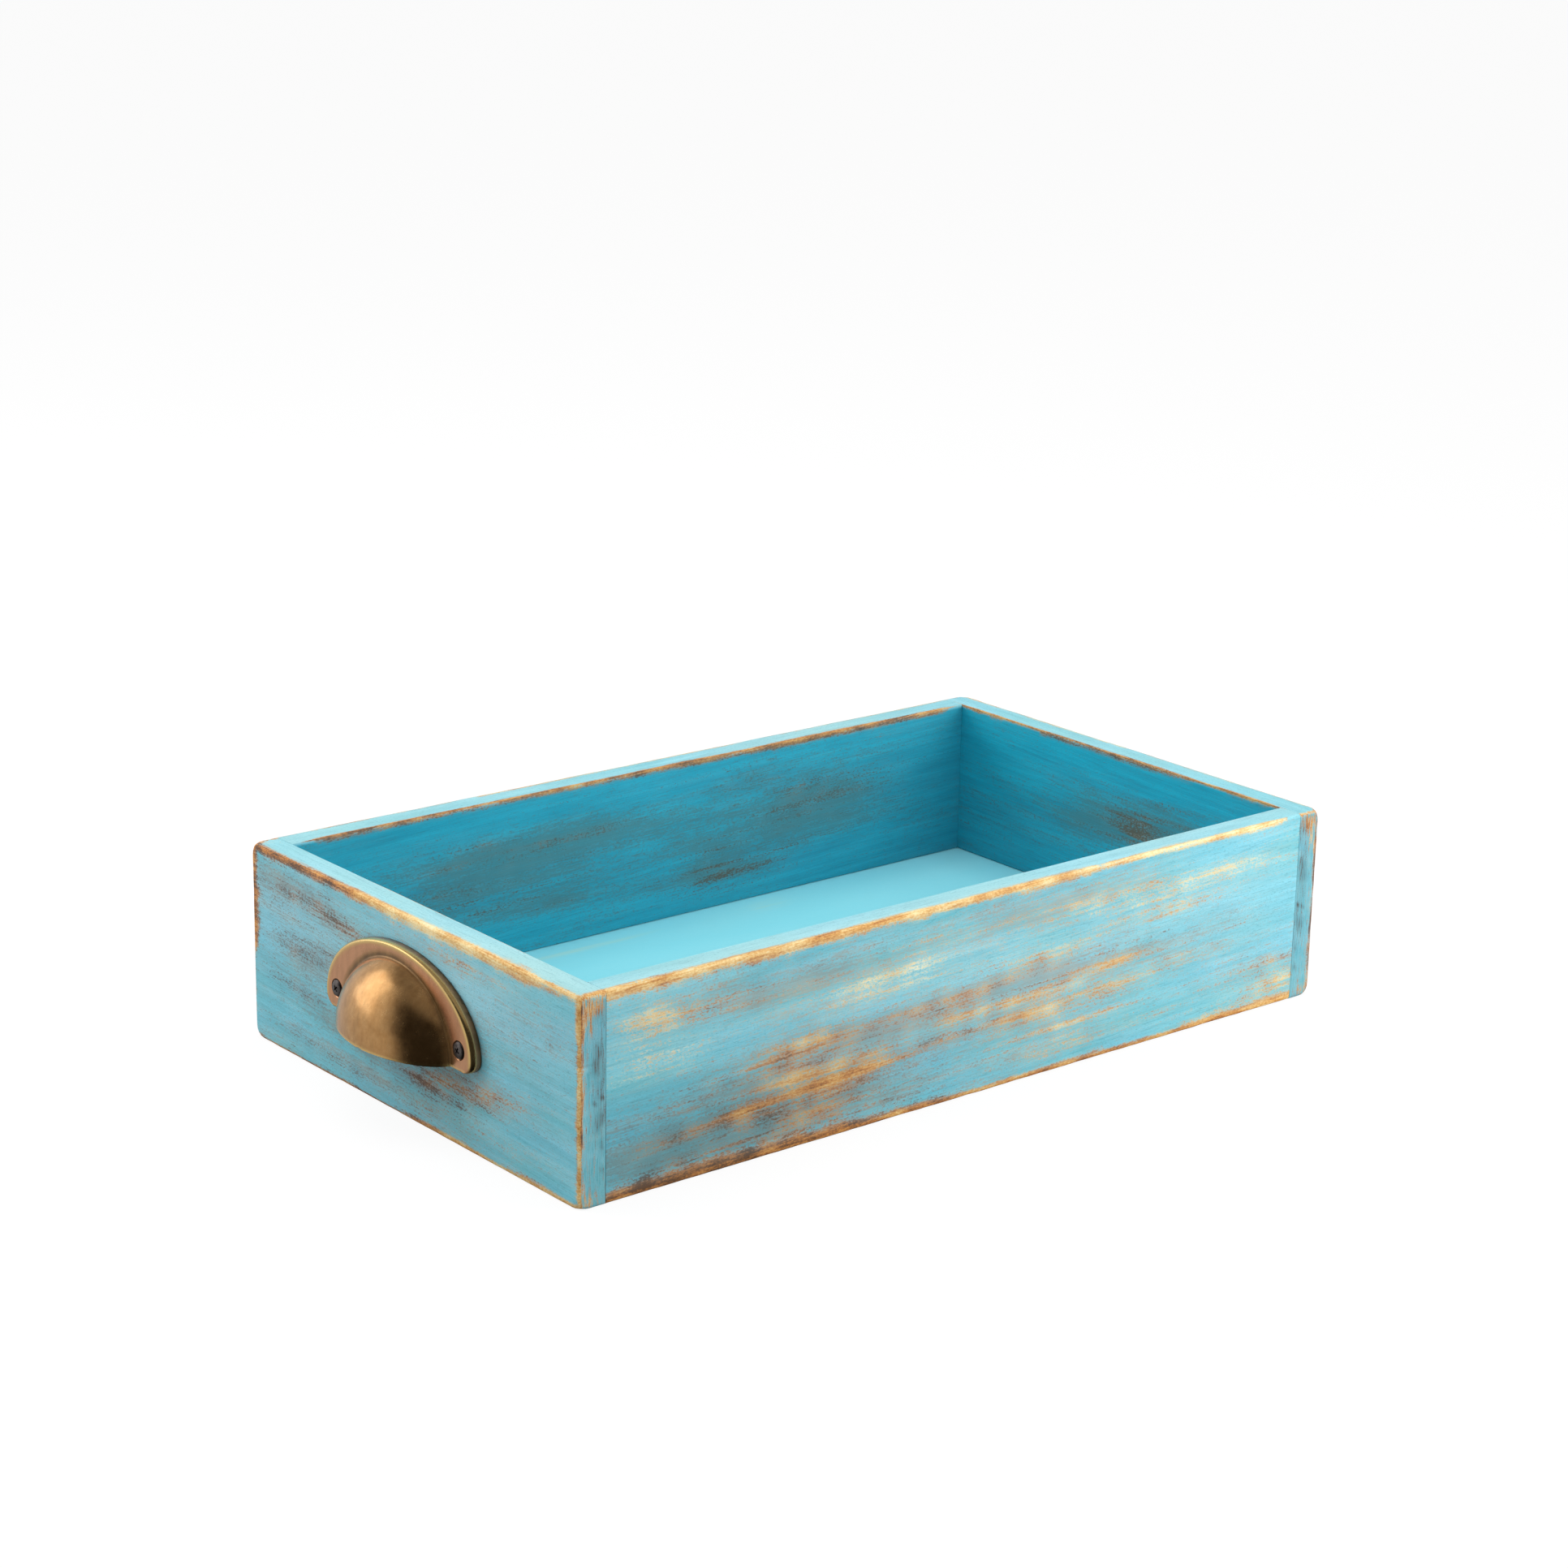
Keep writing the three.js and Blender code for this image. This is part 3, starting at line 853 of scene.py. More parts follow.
def finishBoard(bm, name, look, alongAxis, halfLength, span, low, high, turned):
    # a fine even mesh, its marks and its unevenness, and then the whole turned to the far side
    acrossAxis = 1 - alongAxis
    outer, inner, top = low[acrossAxis], high[acrossAxis], high.z
    step = boards["meshStep"]
    levels = evenPlaces(0, top, step, look.get("extraLevels", ()))
    cutAcross(bm, 2, [
        level for level in levels
        if min(abs(level - grooveLow), abs(level - grooveHigh)) > boards["grooveMargin"]
    ])
    cutAcross(bm, acrossAxis, evenPlaces(outer, inner, step))
    cutAcross(bm, alongAxis, evenPlaces(-halfLength, halfLength, step))
    paintBoard(bm, look, alongAxis, span / mm, outer, inner, top, turned)
    if alongAxis == 1:
        sandCorners(bm, halfLength, outer, top)
    roughenBoard(bm, look["seed"], look.get("nicks", ()))
    if turned:
        bmesh.ops.transform(bm, matrix=halfTurn, verts=bm.verts)
    return newPiece(bm, name, look["material"])


def sideBoard(name, look, turned):
    low, high = frontBoardLow, frontBoardHigh
    halfLength = -leftBoardHigh.x - boards["seamGap"]
    bm = bmesh.new()
    addBlock(bm, (2 * halfLength, high.y - low.y, high.z - low.z), (low + high) / 2)
    roundEdges(bm, edgesOn(bm, y=low.y, z=high.z), boards["easedEdge"], 3)
    roundEdges(bm, edgesOn(bm, y=low.y, z=0), boards["easedEdge"], 3)
    roundEdges(bm, edgesOn(bm, y=high.y, z=high.z), boards["innerRimEdge"], 2)
    for end in (halfLength, -halfLength):
        roundEdges(bm, edgesOn(bm, x=end), boards["seamEdge"] / 2, 1)
    cutGroove(bm, 1)
    return finishBoard(bm, name, look, 0, halfLength, -leftBoardLow.x, low, high, turned)


def endBoard(name, look, turned):
    low, high = leftBoardLow, leftBoardHigh
    bm = bmesh.new()
    addBlock(bm, high - low, (low + high) / 2)
    for side in (low.y, high.y):
        roundEdges(bm, edgesOn(bm, x=low.x, y=side), boards["cornerRadius"], 5)
    for level in (high.z, 0):
        innerEdges = edgesOn(bm, x=high.x, z=level)
        rim = [edge for edge in edgesOn(bm, z=level) if edge not in innerEdges]
        roundEdges(bm, rim, boards["easedEdge"], 3)
    roundEdges(bm, edgesOn(bm, x=high.x, z=high.z), boards["innerRimEdge"], 2)
    for side in (low.y, high.y):
        roundEdges(bm, edgesOn(bm, x=high.x, y=side), boards["seamEdge"], 1)
    cutGroove(bm, 0, panelHigh.y + boards["grooveClearance"])
    return finishBoard(bm, name, look, 1, high.y, high.y, low, high, turned)


print("boards")
longGrain = wornPaint("worn blue paint, grain along", "x")
crossGrain = wornPaint("worn blue paint, grain across", "y")

# Painted light and shade: a list of pale clouds that stand in for light, and a cloud with an amount below 0
# is painted shade. innerShade and rimShade are painted shade on the inner faces and the rim's top.
frontLook = {
    "seed": 1.0, "outer": frontSpots, "inner": frontInnerSpots, "edges": frontEdges,
    "innerShade": 0.9, "rimSheenAmount": 0.30, "rimShade": 0.12, "material": longGrain,
    "paintedLightAndShade": [
        (-125, 14, 76, 24, -0.60), (0, 42, 70, 16, 0.24), (120, 48, 50, 18, 0.26), (-110, 50, 30, 10, 0.10),
    ],
}
backLook = {
    "seed": 4.0, "outer": backSpots, "inner": backInnerSpots, "edges": backEdges,
    "innerShade": 0.9, "rimSheenAmount": 0.30, "rimShade": 0.20, "material": longGrain,
    "paintedLightAndShade": [(-40, 46, 60, 14, 0.30), (90, 30, 50, 14, 0.24)],
}
nickPlace = (leftBoardLow.x + 1.0 * mm, leftBoardLow.y + 0.5 * mm, 50.4 * mm)
leftLook = {
    "seed": 7.0, "outer": leftSpots, "inner": leftInnerSpots, "edges": leftEdges,
    "innerShade": 0.9, "rimSheenAmount": 0.28, "rimShade": 0.05, "material": crossGrain,
    "paintedLightAndShade": [(26, 58, 64, 14, 0.62), (-66, 52, 40, 18, 0.34)],
    "extraLevels": [level * mm for level in (49.4, 49.8, 50.2, 50.6, 51.0, 51.4)],
    "nicks": [(nickPlace, (3.5 * mm, 2.5 * mm, 0.55 * mm), 0.5 * mm)],
}
rightLook = {
    "seed": 11.0, "outer": rightSpots, "inner": rightInnerSpots, "edges": rightEdges,
    "innerShade": 0.97, "rimSheenAmount": 0.22, "rimShade": 0.14, "material": crossGrain,
    "paintedLightAndShade": [(-40, 50, 40, 12, 0.30), (50, 40, 40, 16, 0.24)],
}

for name, maker, look, turned, node in (
    ("front_board", sideBoard, frontLook, False, "front_side_board"),
    ("back_board", sideBoard, backLook, True, "back_side_board"),
    ("left_board", endBoard, leftLook, False, "left_end_board"),
    ("right_board", endBoard, rightLook, True, "right_end_board"),
):
    piece = maker(name, look, turned)
    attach(piece, "root")
    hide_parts(node)


panel = {
    "edgeRadius": 0.6 * mm,
    "meshStep": 8.0 * mm,
    "extraCuts": (77, 79, 81, 83),
    "light": (0.310, 0.810, 0.900),
    "mid": (0.260, 0.770, 0.870),
    "brushed": (0.34, 0.76, 0.84),
    "brushing": 0.10,
    "primer": (0.55, 0.80, 0.66),
    "wideScale": (250, 1000, 1000),
    "fineScale": (60, 1000, 1000),
    "roughness": (0.07, 0.34),
    "fineDepth": 0.4,
    "peelDepth": 0.25,
    "bump": (0.05 * mm, 0.5),
}


def panelPaint():
    material, tree, shader = startMaterial("smooth aqua paint")
    wide = grainNoise(tree, objectPoint(tree, panel["wideScale"]), 30.0, 2.0, 0.5)
    fine = grainNoise(tree, objectPoint(tree, panel["fineScale"]), 2.4, 3.0, 0.55)
    peel = grainNoise(tree, objectPoint(tree), 1.6, 2.0, 0.5)
    coat = blendColors(tree, wide, panel["mid"], panel["light"])
    coat = blendColors(tree, scaled(tree, fine, panel["brushing"]), coat, panel["brushed"])
    broken = calc(tree, "MULTIPLY", surfaceValue(tree, "streak"), fine, clamped=True)
    coat = blendColors(tree, broken, coat, panel["primer"])
    plugAll(tree, shader, {"Base Color": coat, "Roughness": scaled(tree, peel, *panel["roughness"])})
    height = scaled(tree, peel, panel["peelDepth"], scaled(tree, fine, panel["fineDepth"]))
    addBump(tree, shader, height, *panel["bump"])
    return material


def floorPanel():
    bm = bmesh.new()
    addBlock(bm, panelHigh - panelLow, (panelLow + panelHigh) / 2)
    roundEdges(bm, bm.edges[:], panel["edgeRadius"], 2)
    step = panel["meshStep"]
    cutAcross(bm, 0, evenPlaces(panelLow.x, panelHigh.x, step))
    cutAcross(bm, 1, evenPlaces(panelLow.y, panelHigh.y, step, [y * mm for y in panel["extraCuts"]]))
    layer = bm.verts.layers.float.new("streak")
    for vert in bm.verts:
        # a thin run along the back wall's foot, and one pale smear by it
        x, y = vert.co.x / mm, vert.co.y / mm
        line = math.exp(-((y - 80.5) / 1.6) ** 2) * (1 - smoothStep(-30, 0, x))
        line += 0.7 * math.exp(-((y - 80) / 3.0) ** 2 - ((x - 52) / 8) ** 2)
        vert[layer] = line
    return newPiece(bm, "painted_floor", panelPaint())


print("floor panel")
floorPiece = floorPanel()
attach(floorPiece, "root")
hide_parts("floor_panel")


# Lengths are in mm, with x across the end board, y up from the pull's foot and z out of the board
pull = {
    "halfWidth": 46.2,
    "archHeight": 28.8,
    "earRadius": 5.2,
    "flange": 4.0,
    "flangeEdge": 1.9,
    "flangeShares": (0.10, 0.25, 0.50, 0.75, 1.0),
    "backGap": 0.3,
    "domeHalfWidth": 33.7,
    "domeHeight": 29.5,
    "domeDepth": 19.5,
    "shell": 1.5,
    "fillet": 0.8,
    "lip": 0.45,
    "arcSteps": 6,
    "outerSteps": 26,
    "innerSteps": 22,
    "spinSteps": 120,
    "sharpAngle": 38,
    "screwSpacing": 76.0,
    "screwHeight": 7.5,
    "screwHeadRadius": 3.1,
}

brassLook = {
    "body": (0.56, 0.285, 0.095),
    "bodyLight": (0.74, 0.42, 0.165),
    "flange": (0.78, 0.395, 0.205),
    # dark patina colour, also used for painted shade
    "patina": (0.075, 0.040, 0.014),
    # painted highlight colour
    "paintedHighlight": (0.98, 0.68, 0.26),
    "smearScale": (1000, 1000, 350),
    "smearCover": (0.22, -0.06),
    "highlightGrain": (0.25, 0.85),
    "metallic": (-0.55, 1.0),
    "lacquer": (-0.28, 0.30),
    "lacquerRoughness": 0.24,
    "roughness": (0.07, 0.17),
    "fineRoughness": 0.06,
    "bump": (0.02 * mm, 0.3),
}


def quarterTurn(count):
    return [math.radians(90 * index / count) for index in range(count + 1)]


def pullProfile():
    # (radius, depth) round the cast wall, from the flange's back edge over the dome and back inside it
    halfWidth, flange, edge, fillet = (pull[key] for key in ("halfWidth", "flange", "flangeEdge", "fillet"))
    points = [(halfWidth, pull["backGap"])]
    for angle in quarterTurn(pull["arcSteps"]):
        points.append((halfWidth - edge + edge * math.cos(angle), flange - edge + edge * math.sin(angle)))
    start = math.asin((flange + fillet) / pull["domeDepth"])
    domeFoot = pull["domeHalfWidth"] * math.cos(start)
    flatLength = halfWidth - edge - (domeFoot + fillet + 0.8)
    for share in pull["flangeShares"]:
        points.append((halfWidth - edge - flatLength * share, flange))
    for angle in quarterTurn(pull["arcSteps"]):
        points.append((
            domeFoot + fillet - fillet * math.sin(angle),
            flange + fillet - fillet * math.cos(angle),
        ))
    for index in range(1, pull["outerSteps"] + 1):
        angle = start + (math.pi / 2 - start) * index / pull["outerSteps"]
        points.append((pull["domeHalfWidth"] * math.cos(angle), pull["domeDepth"] * math.sin(angle)))
    innerRadius = pull["domeHalfWidth"] - pull["shell"]
    innerDepth = pull["domeDepth"] - pull["shell"]
    innerStart = math.asin(pull["backGap"] / innerDepth)
    for index in range(pull["innerSteps"] + 1):
        angle = math.pi / 2 - (math.pi / 2 - innerStart) * index / pull["innerSteps"]
        points.append((innerRadius * math.cos(angle), innerDepth * math.sin(angle)))
    return [(max(radius, 0.0), depth) for radius, depth in points]


def flangeOutline(share):
    # a point on the flange's outline, share 0 at the right ear's foot to 1 at the left ear's
    ear = pull["earRadius"]
    halfWidth = pull["halfWidth"]
    arch = pull["archHeight"]
    earLength = ear * math.pi / 2
    archLength = math.pi * math.sqrt((halfWidth ** 2 + arch ** 2) / 2)
    mirrored = share > 0.5
    travel = (1 - share if mirrored else share) * (2 * earLength + archLength)
    if travel < earLength:
        angle = -math.pi / 2 + travel / ear
        x, y = halfWidth - ear + ear * math.cos(angle), ear + ear * math.sin(angle)
    else:
        angle = math.pi * (travel - earLength) / archLength
        x, y = halfWidth * math.cos(angle), ear + arch * math.sin(angle)
    return (-x if mirrored else x), y


def brassMaterial():
    material, tree, shader = startMaterial("antique brass")
    mottle = grainNoise(tree, objectPoint(tree), 4.0, 4.0, 0.65)
    fine = grainNoise(tree, objectPoint(tree), 0.8, 3.0, 0.6)
    smear = grainNoise(tree, objectPoint(tree, brassLook["smearScale"]), 2.5, 3.0, 0.5)
    patinaAndShade = surfaceValue(tree, "patinaAndShade")
    body = blendColors(tree, mottle, brassLook["body"], brassLook["bodyLight"])
    body = blendColors(tree, surfaceValue(tree, "flange"), body, brassLook["flange"])
    # dark patina in smears, plus painted shade in the crease, on the side wall and in the hollow
    patina = calc(tree, "ADD", scaled(tree, smear, *brassLook["smearCover"]), patinaAndShade, clamped=True)
    body = blendColors(tree, patina, body, brassLook["patina"])
    # painted highlight on the rim and the lip, broken by fine grain
    paintedHighlight = scaled(tree, fine, *brassLook["highlightGrain"])
    paintedHighlight = calc(tree, "MULTIPLY", surfaceValue(tree, "highlightAmount"), paintedHighlight, clamped=True)
    rough = scaled(tree, mottle, *brassLook["roughness"])
    plugAll(tree, shader, {
        "Base Color": blendColors(tree, paintedHighlight, body, brassLook["paintedHighlight"]),
        "Metallic": scaled(tree, patinaAndShade, *brassLook["metallic"], clamped=True),
        "Coat Weight": scaled(tree, patinaAndShade, *brassLook["lacquer"], clamped=True),
        "Coat Roughness": brassLook["lacquerRoughness"],
        "Roughness": scaled(tree, fine, brassLook["fineRoughness"], rough),
    })
    addBump(tree, shader, scaled(tree, fine, 0.5, mottle), *brassLook["bump"])
    return material


brass = brassMaterial()


def onLeftBoard(across=0.0, up=0.0, out=0.0):
    # from the pull's own millimetres to the shared frame
    return Matrix((
        (0, 0, -mm, leftBoardLow.x - out * mm),
        (-mm, 0, 0, -across * mm),
        (0, mm, 0, pullLow.z + up * mm),
        (0, 0, 0, 1),
    ))


def isLip(edge):
    # an edge of the cut foot, where the casting's flat cut meets its outer and inner walls
    ends = [vert.co for vert in edge.verts]
    return (
        all(abs(co.y) < 1e-4 and co.z > pull["backGap"] + 0.05 for co in ends)
        and max(abs(co.x) for co in ends) > 0.5
        and len(edge.link_faces) == 2 and edge.calc_face_angle(0) > 0.7
    )


def cupPull(name, turned):
    bm = bmesh.new()
    wall = bm.faces.new([bm.verts.new((radius, 0, depth)) for radius, depth in pullProfile()])
    bmesh.ops.spin(
        bm, geom=[wall, *wall.edges, *wall.verts], cent=(0, 0, 0), axis=(0, 0, 1), angle=math.pi,
        steps=pull["spinSteps"], use_merge=False, use_normal_flip=False, use_duplicate=False,
    )
    bmesh.ops.remove_doubles(bm, verts=bm.verts, dist=1e-4)
    for vert in bm.verts:
        radius = math.hypot(vert.co.x, vert.co.y)
        share = clamp(math.atan2(max(vert.co.y, 0), vert.co.x) / math.pi)
        domeX = pull["domeHalfWidth"] * math.cos(share * math.pi)
        domeY = pull["domeHeight"] * math.sin(share * math.pi)
        if radius <= pull["domeHalfWidth"]:
            scale = radius / pull["domeHalfWidth"]
            vert.co.x, vert.co.y = domeX * scale, domeY * scale
        else:
            rimX, rimY = flangeOutline(share)
            blend = (radius - pull["domeHalfWidth"]) / (pull["halfWidth"] - pull["domeHalfWidth"])
            vert.co.x = domeX + (rimX - domeX) * blend
            vert.co.y = domeY + (rimY - domeY) * blend
    bmesh.ops.recalc_face_normals(bm, faces=bm.faces)
    roundEdges(bm, [edge for edge in bm.edges if isLip(edge)], pull["lip"], 2)
    bmesh.ops.transform(bm, matrix=onLeftBoard(), verts=bm.verts)
    piece = newPiece(bm, name, brass)
    for side in (-1, 1):
        carve(piece, screwSeat(side * pull["screwSpacing"] / 2))
    colourPull(piece)
    if turned:
        piece.data.transform(halfTurn)
    piece.data.shade_smooth()
    piece.data.set_sharp_from_angle(angle=math.radians(pull["sharpAngle"]))
    return piece


def screwSeat(across):
    # the cutter for a countersunk screw's hole through the flange
    bm = bmesh.new()
    front = pull["flange"]
    inner = pull["screwHeadRadius"] + 0.25
    outer = inner + 0.25
    addTurning(bm, [
        (0, -1), (2.0, -1), (2.0, front - 2.2), (inner, front - 0.15), (outer, front + 0.05),
        (outer, front + 3), (0, front + 3),
    ], 40)
    bmesh.ops.transform(bm, matrix=onLeftBoard(across, pull["screwHeight"]), verts=bm.verts)
    return meshObject(bm, "seat")


def colourPull(piece):
    # painted highlight on the flange's rim and the lip; dark patina with painted shade in the crease, on
    # the side wall and inside the hollow
    mesh = piece.data
    values = {key: mesh.attributes.new(key, "FLOAT", "POINT").data for key in ("highlightAmount", "patinaAndShade", "flange")}
    hollow = [pull[key] - pull["shell"] / 2 for key in ("domeHalfWidth", "domeHeight", "domeDepth")]
    for index, vert in enumerate(mesh.vertices):
        x = -vert.co.y / mm
        y = (vert.co.z - pullLow.z) / mm
        z = (leftBoardLow.x - vert.co.x) / mm
        above = z - pull["flange"]
        domeSize = math.hypot(x / pull["domeHalfWidth"], y / pull["domeHeight"])
        archSize = math.hypot(x / pull["halfWidth"], max(y - pull["earRadius"], 0) / pull["archHeight"])
        inside = sum((part / size) ** 2 for part, size in zip((x, y, z), hollow)) < 1
        # painted highlight on the flange's rounded rim and on the lip
        rim = smoothStep(0.925, 0.975, archSize)
        rim *= smoothStep(-2.0, -0.6, above) * (1 - smoothStep(1.0, 2.5, above))
        lip = (1 - smoothStep(0.3, 1.4, y)) * smoothStep(-1.5, 0.5, above)
        onFlange = smoothStep(1.01, 1.08, domeSize) * (1 - smoothStep(0.7, 2.5, above))
        # painted shade in the crease round the dome, on the flange's side wall and in the hollow, laid on
        # with the dark patina
        crease = math.exp(-((domeSize - 1.0) / 0.045) ** 2) * (1 - smoothStep(0.0, 4.5, above))
        sideWall = 1 - smoothStep(-2.6, -1.0, above)
        values["highlightAmount"][index].value = 0.0 if inside else clamp(rim + 0.85 * lip)
        values["patinaAndShade"][index].value = clamp(0.75 * crease + sideWall + 0.8 * inside)
        values["flange"][index].value = onFlange * (1 - rim)


screw = {
    "headRadius": 3.1,
    "headEase": 0.12,
    "rimTop": 0.08,
    "crown": 0.75,
    "headDepth": 2.0,
    "length": 12.6,
    "root": 1.2,
    "crest": 1.75,
    "pitch": 1.4,
    "threadTop": 0.8,
    "threadBottom": 1.8,
    "recess": 1.75,
    "slotHalf": 0.36,
    "recessDepth": 1.5,
    "recessTaper": (0.30, 0.7, 1),
    "domeSteps": 6,
    "roundSteps": 36,
    "sharpAngle": 35,
    "turns": {"left": (38, 61), "right": (12, 61)},
    "steel": (0.07, 0.062, 0.06),
    "steelLight": (0.24, 0.21, 0.20),
    "worn": (0.36, 0.31, 0.27),
    "wornGrain": (1.6, -1.05),
    "roughness": (0.2, 0.30),
    "bump": (0.04 * mm, 0.4),
}


def screwMaterial():
    material, tree, shader = startMaterial("blackened steel")
    fine = grainNoise(tree, objectPoint(tree), 0.5, 3.0, 0.6)
    blotch = grainNoise(tree, objectPoint(tree), 1.6, 3.0, 0.6)
    color = blendColors(tree, blotch, screw["steel"], screw["steelLight"])
    worn = scaled(tree, fine, *screw["wornGrain"], clamped=True)
    plugAll(tree, shader, {
        "Base Color": blendColors(tree, worn, color, screw["worn"]),
        "Metallic": 1.0,
        "Roughness": scaled(tree, fine, *screw["roughness"]),
    })
    addBump(tree, shader, fine, *screw["bump"])
    return material


blackSteel = screwMaterial()


def crossArm(angle):
    # one tapered arm of the cross recess, standing out above the head
    height = screw["recessDepth"] + 2
    bm = bmesh.new()
    size = (2 * screw["recess"], 2 * screw["slotHalf"], height)
    addBlock(bm, size, (0, 0, height / 2 - screw["recessDepth"]))
    floor = [vert for vert in bm.verts if vert.co.z < 0]
    bmesh.ops.scale(bm, vec=screw["recessTaper"], verts=floor)
    bmesh.ops.rotate(bm, matrix=Matrix.Rotation(math.radians(angle), 3, "Z"), verts=bm.verts)
    return meshObject(bm, "arm")


def screwOutline():
    # (radius, height) from the point up the thread's rings and over the head
    root, crest, head = screw["root"], screw["crest"], screw["headRadius"]
    bottom = screw["threadBottom"] - screw["length"]
    top = -screw["headDepth"] - screw["threadTop"]
    outline = [(0, -screw["length"])]
    for index in range(int((top - bottom) / screw["pitch"])):
        z = bottom + index * screw["pitch"]
        outline += [(root, z), (crest, z + 0.5), (crest, z + 0.62), (root, z + 1.1)]
    outline += [(root, -screw["headDepth"]), (head - 0.1, -0.3), (head, -0.18), (head, -0.04)]
    domeRadius = head - screw["headEase"]
    domeHeight = screw["crown"] - screw["rimTop"]
    for angle in quarterTurn(screw["domeSteps"]):
        outline.append((domeRadius * math.cos(angle), screw["rimTop"] + domeHeight * math.sin(angle)))
    outline[-1] = (0, screw["crown"])
    return outline


def pullScrew(name, across, turn, turned):
    bm = bmesh.new()
    addTurning(bm, screwOutline(), screw["roundSteps"])
    piece = newPiece(bm, name, blackSteel, screw["sharpAngle"])
    for angle in (turn, turn + 90):
        carve(piece, crossArm(angle))
    place = onLeftBoard(across, pull["screwHeight"], pull["flange"])
    piece.data.transform(halfTurn @ place if turned else place)
    piece.data.set_sharp_from_angle(angle=math.radians(screw["sharpAngle"]))
    return piece


print("cup pulls and screws")
for side, turned in (("left", False), ("right", True)):
    piece = cupPull(side + "_brass_pull", turned)
    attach(piece, "root")
    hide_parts(side + "_cup_pull")
    for index, turn in enumerate(screw["turns"][side]):
        across = (index - 0.5) * pull["screwSpacing"]
        screwPiece = pullScrew(f"{side}_screw_{index + 1}", across, turn, turned)
        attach(screwPiece, "root")
        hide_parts(f"{side}_pull_screw_{index + 1}")


brad = {
    "wire": (0.42, 0.42, 0.41),
    "wireLight": (0.66, 0.65, 0.63),
    "drawnScale": (60, 1000, 1000),
    "roughness": (0.2, 0.25),
    "bump": (0.02 * mm, 0.4),
}


def bradMaterial():
    material, tree, shader = startMaterial("bright drawn wire")
    drawn = grainNoise(tree, objectPoint(tree, brad["drawnScale"]), 0.3, 2.0, 0.5)
    plugAll(tree, shader, {
        "Base Color": blendColors(tree, drawn, brad["wire"], brad["wireLight"]),
        "Metallic": 1.0,
        "Roughness": scaled(tree, drawn, *brad["roughness"]),
    })
    addBump(tree, shader, drawn, *brad["bump"])
    return material


print("brads")
wire = bradMaterial()
for name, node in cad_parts.items():
    if "brad" in name:
        for slot in node.material_slots:
            slot.material = wire


studio = {
    "tableSize": 12,
    "tableGlow": 0.90,
    "tableBounce": 0.42,
    "skyLight": 0.62,
    "underLight": 0.16,
    "backdropGloss": 0.72,
    "tableGloss": 0.62,
    "roomGloss": 0.02,
    "ceilingGloss": 0.22,
    "lightAim": 0.04,
    # azimuth and elevation in degrees, distance, size, power, and the kind of ray that sees it
    "lights": {
        "overhead": (0, 89.9, 1.5, (1.6, 1.6), 13.6, "diffuse"),
        "left softbox": (-140, 26, 1.3, (0.7, 0.8), 9.0, "diffuse"),
        "left reflector": (-142, 20, 1.3, (0.62, 0.85), 1.75, "glossy"),
        "right fill": (36, 14, 0.85, (0.5, 0.5), 5.2, "diffuse"),
    },
}


def studioTable():
    bm = bmesh.new()
    bmesh.ops.create_grid(bm, x_segments=4, y_segments=4, size=studio["tableSize"])
    table = meshObject(bm, "studio_table")
    material, tree, shader = startMaterial("pale table")
    seen = tree.nodes.new("ShaderNodeLightPath").outputs["Is Camera Ray"]
    bounce = (studio["tableBounce"],) * 3
    seenBase = (1 - studio["tableGlow"],) * 3
    plugAll(tree, shader, {
        "Base Color": blendColors(tree, seen, bounce, seenBase),
        "Roughness": 0.9,
        "Specular IOR Level": 0.0,
        "Emission Color": (1, 1, 1),
        "Emission Strength": scaled(tree, seen, studio["tableGlow"]),
    })
    table.data.materials.append(material)
    table.visible_glossy = False


def aimed(azimuth, elevation):
    # looking inward from a direction; azimuth 0 is in front of the box, 90 to its right
    across = Matrix.Rotation(math.radians(azimuth), 4, "Z")
    return across @ Matrix.Rotation(math.radians(90 - elevation), 4, "X")


def softLight(name, azimuth, elevation, distance, size, power, rays):
    data = bpy.data.lights.new(name, "AREA")
    data.shape = "RECTANGLE"
    data.size, data.size_y = size
    data.energy = power
    light = addObject(name, data)
    aim = Matrix.Translation((0, 0, studio["lightAim"]))
    light.matrix_world = aim @ aimed(azimuth, elevation) @ Matrix.Translation((0, 0, distance))
    light.visible_diffuse = rays == "diffuse"
    light.visible_glossy = rays == "glossy"


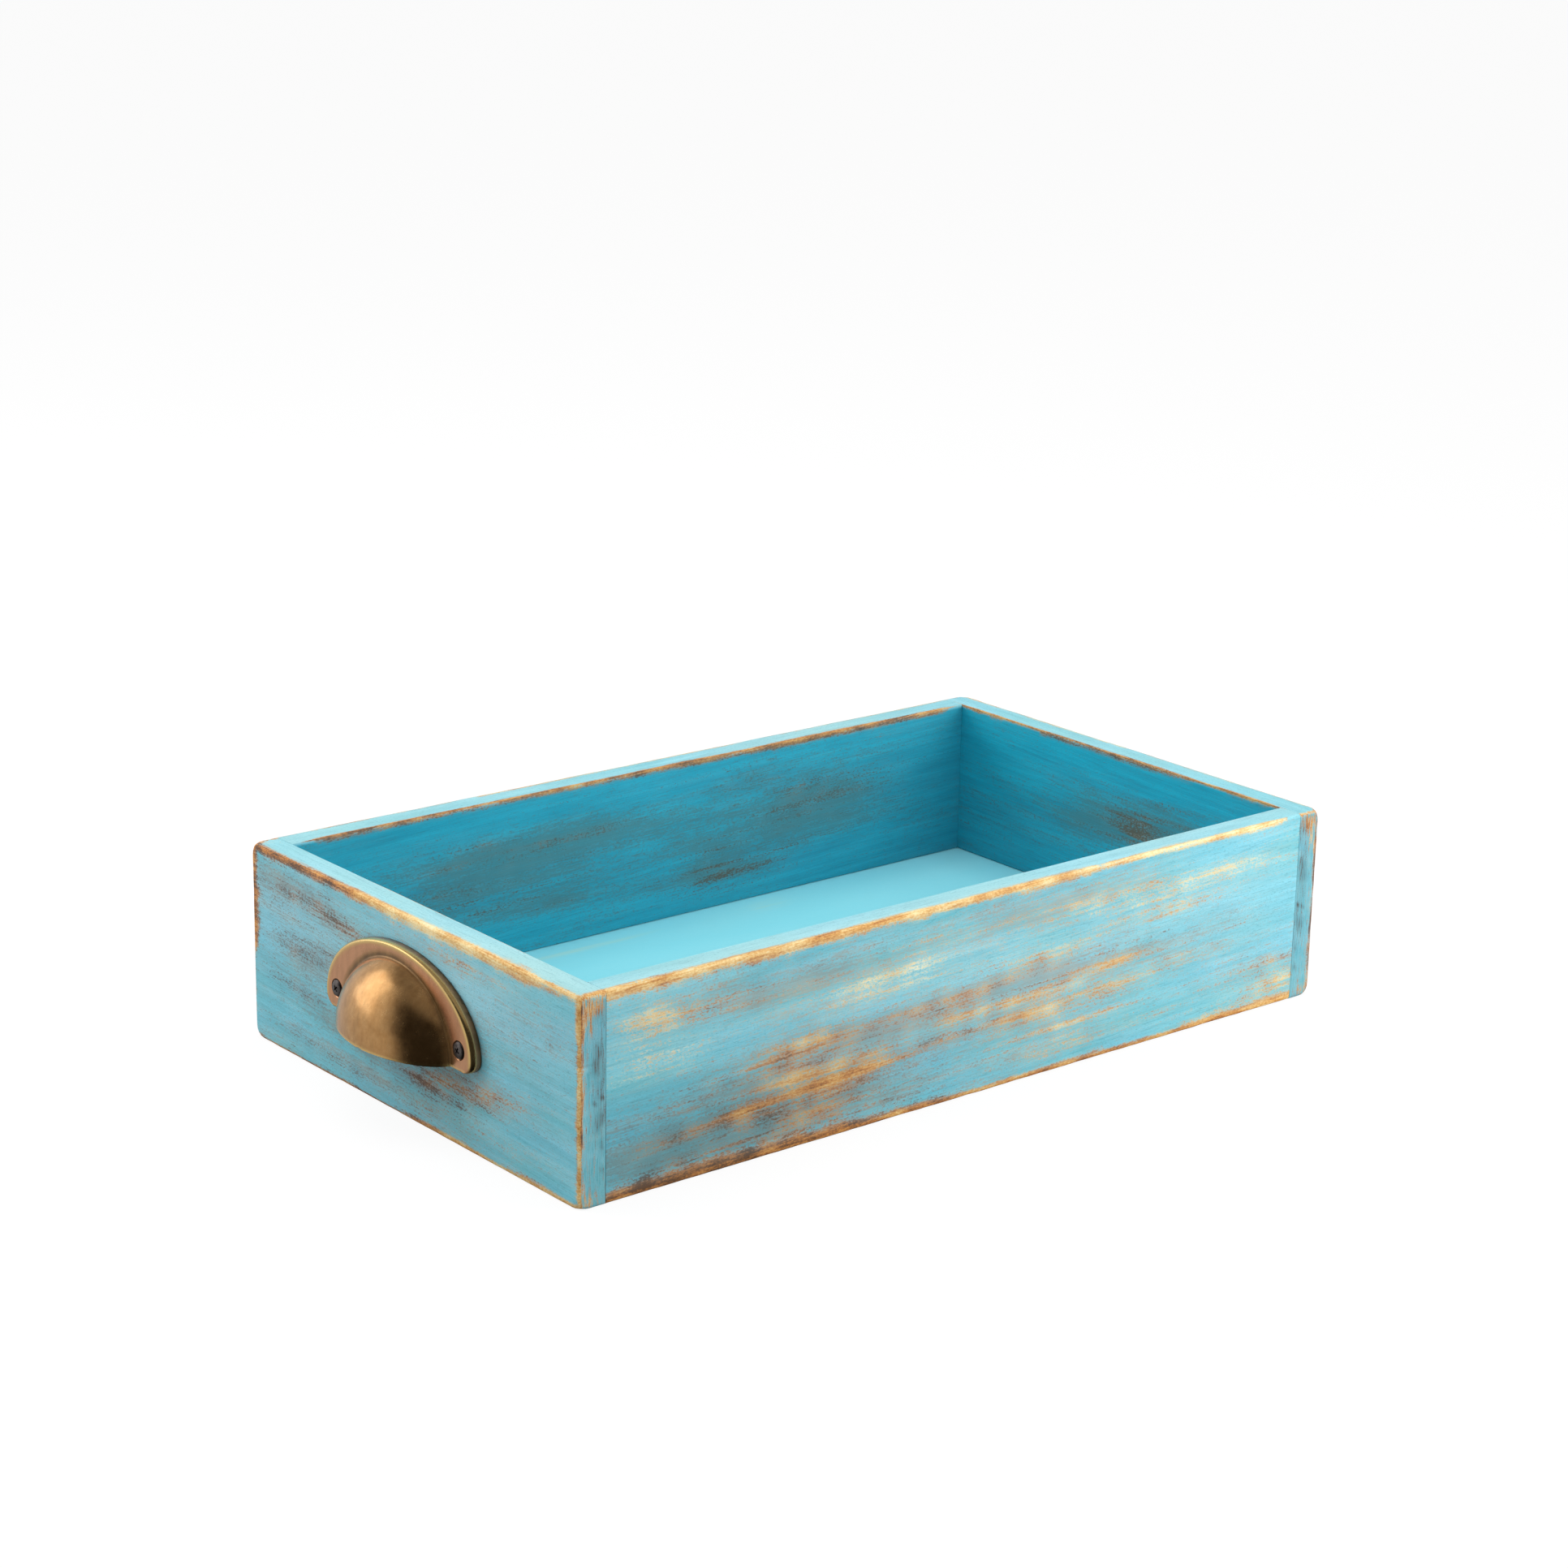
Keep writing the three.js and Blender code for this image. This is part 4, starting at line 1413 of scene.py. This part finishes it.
def studioWorld():
    # white to look at, even and dimmer below for soft light, and a bright backdrop only behind for gloss
    world = bpy.data.worlds.new("studio")
    bpy.context.scene.world = world
    world.use_nodes = True
    tree = world.node_tree
    tree.nodes.clear()
    output = tree.nodes.new("ShaderNodeOutputWorld")
    background = tree.nodes.new("ShaderNodeBackground")
    path = tree.nodes.new("ShaderNodeLightPath")
    parts = tree.nodes.new("ShaderNodeSeparateXYZ")
    tree.links.new(tree.nodes.new("ShaderNodeTexCoord").outputs["Generated"], parts.inputs[0])
    behind, upward = parts.outputs[1], parts.outputs[2]
    ambient = spread(tree, upward, -0.2, 0.2, studio["underLight"], studio["skyLight"])
    backdrop = spread(tree, behind, 0.15, 0.60, studio["roomGloss"], studio["backdropGloss"])
    tableShine = spread(tree, behind, 0.05, 0.45, studio["roomGloss"], studio["tableGloss"])
    tableShine = calc(tree, "MULTIPLY", tableShine, spread(tree, upward, -0.9, -0.1, 0.25))
    backdrop = blendValues(tree, spread(tree, upward, 0.55, 0.80), backdrop, studio["ceilingGloss"])
    gloss = blendValues(tree, spread(tree, upward, -0.04, 0.04), tableShine, backdrop)
    strength = blendValues(tree, path.outputs["Is Glossy Ray"], ambient, gloss)
    strength = blendValues(tree, path.outputs["Is Camera Ray"], strength, 1.0)
    plugAll(tree, background, {"Color": (1, 1, 1), "Strength": strength})
    tree.links.new(background.outputs[0], output.inputs[0])


print("studio")
studioTable()
studioWorld()
for name, settings in studio["lights"].items():
    softLight(name, *settings)

bpy.context.scene.view_settings.view_transform = "Standard"

camera = {
    "azimuth": -39.6,
    "elevation": 16.73,
    "roll": 1.107,
    "distance": 1.3252,
    "aim": (0.01157, 0.02297, 0.08342),
    "lens": 80.15,
    "sensor": 36,
}

cameraData = bpy.data.cameras.new("camera")
cameraData.lens = camera["lens"]
cameraData.sensor_width = camera["sensor"]
cameraPiece = addObject("camera", cameraData)
cameraPiece.matrix_world = (
    Matrix.Translation(camera["aim"])
    @ aimed(camera["azimuth"], camera["elevation"])
    @ Matrix.Rotation(math.radians(camera["roll"]), 4, "Z")
    @ Matrix.Translation((0, 0, camera["distance"]))
)
bpy.context.scene.camera = cameraPiece
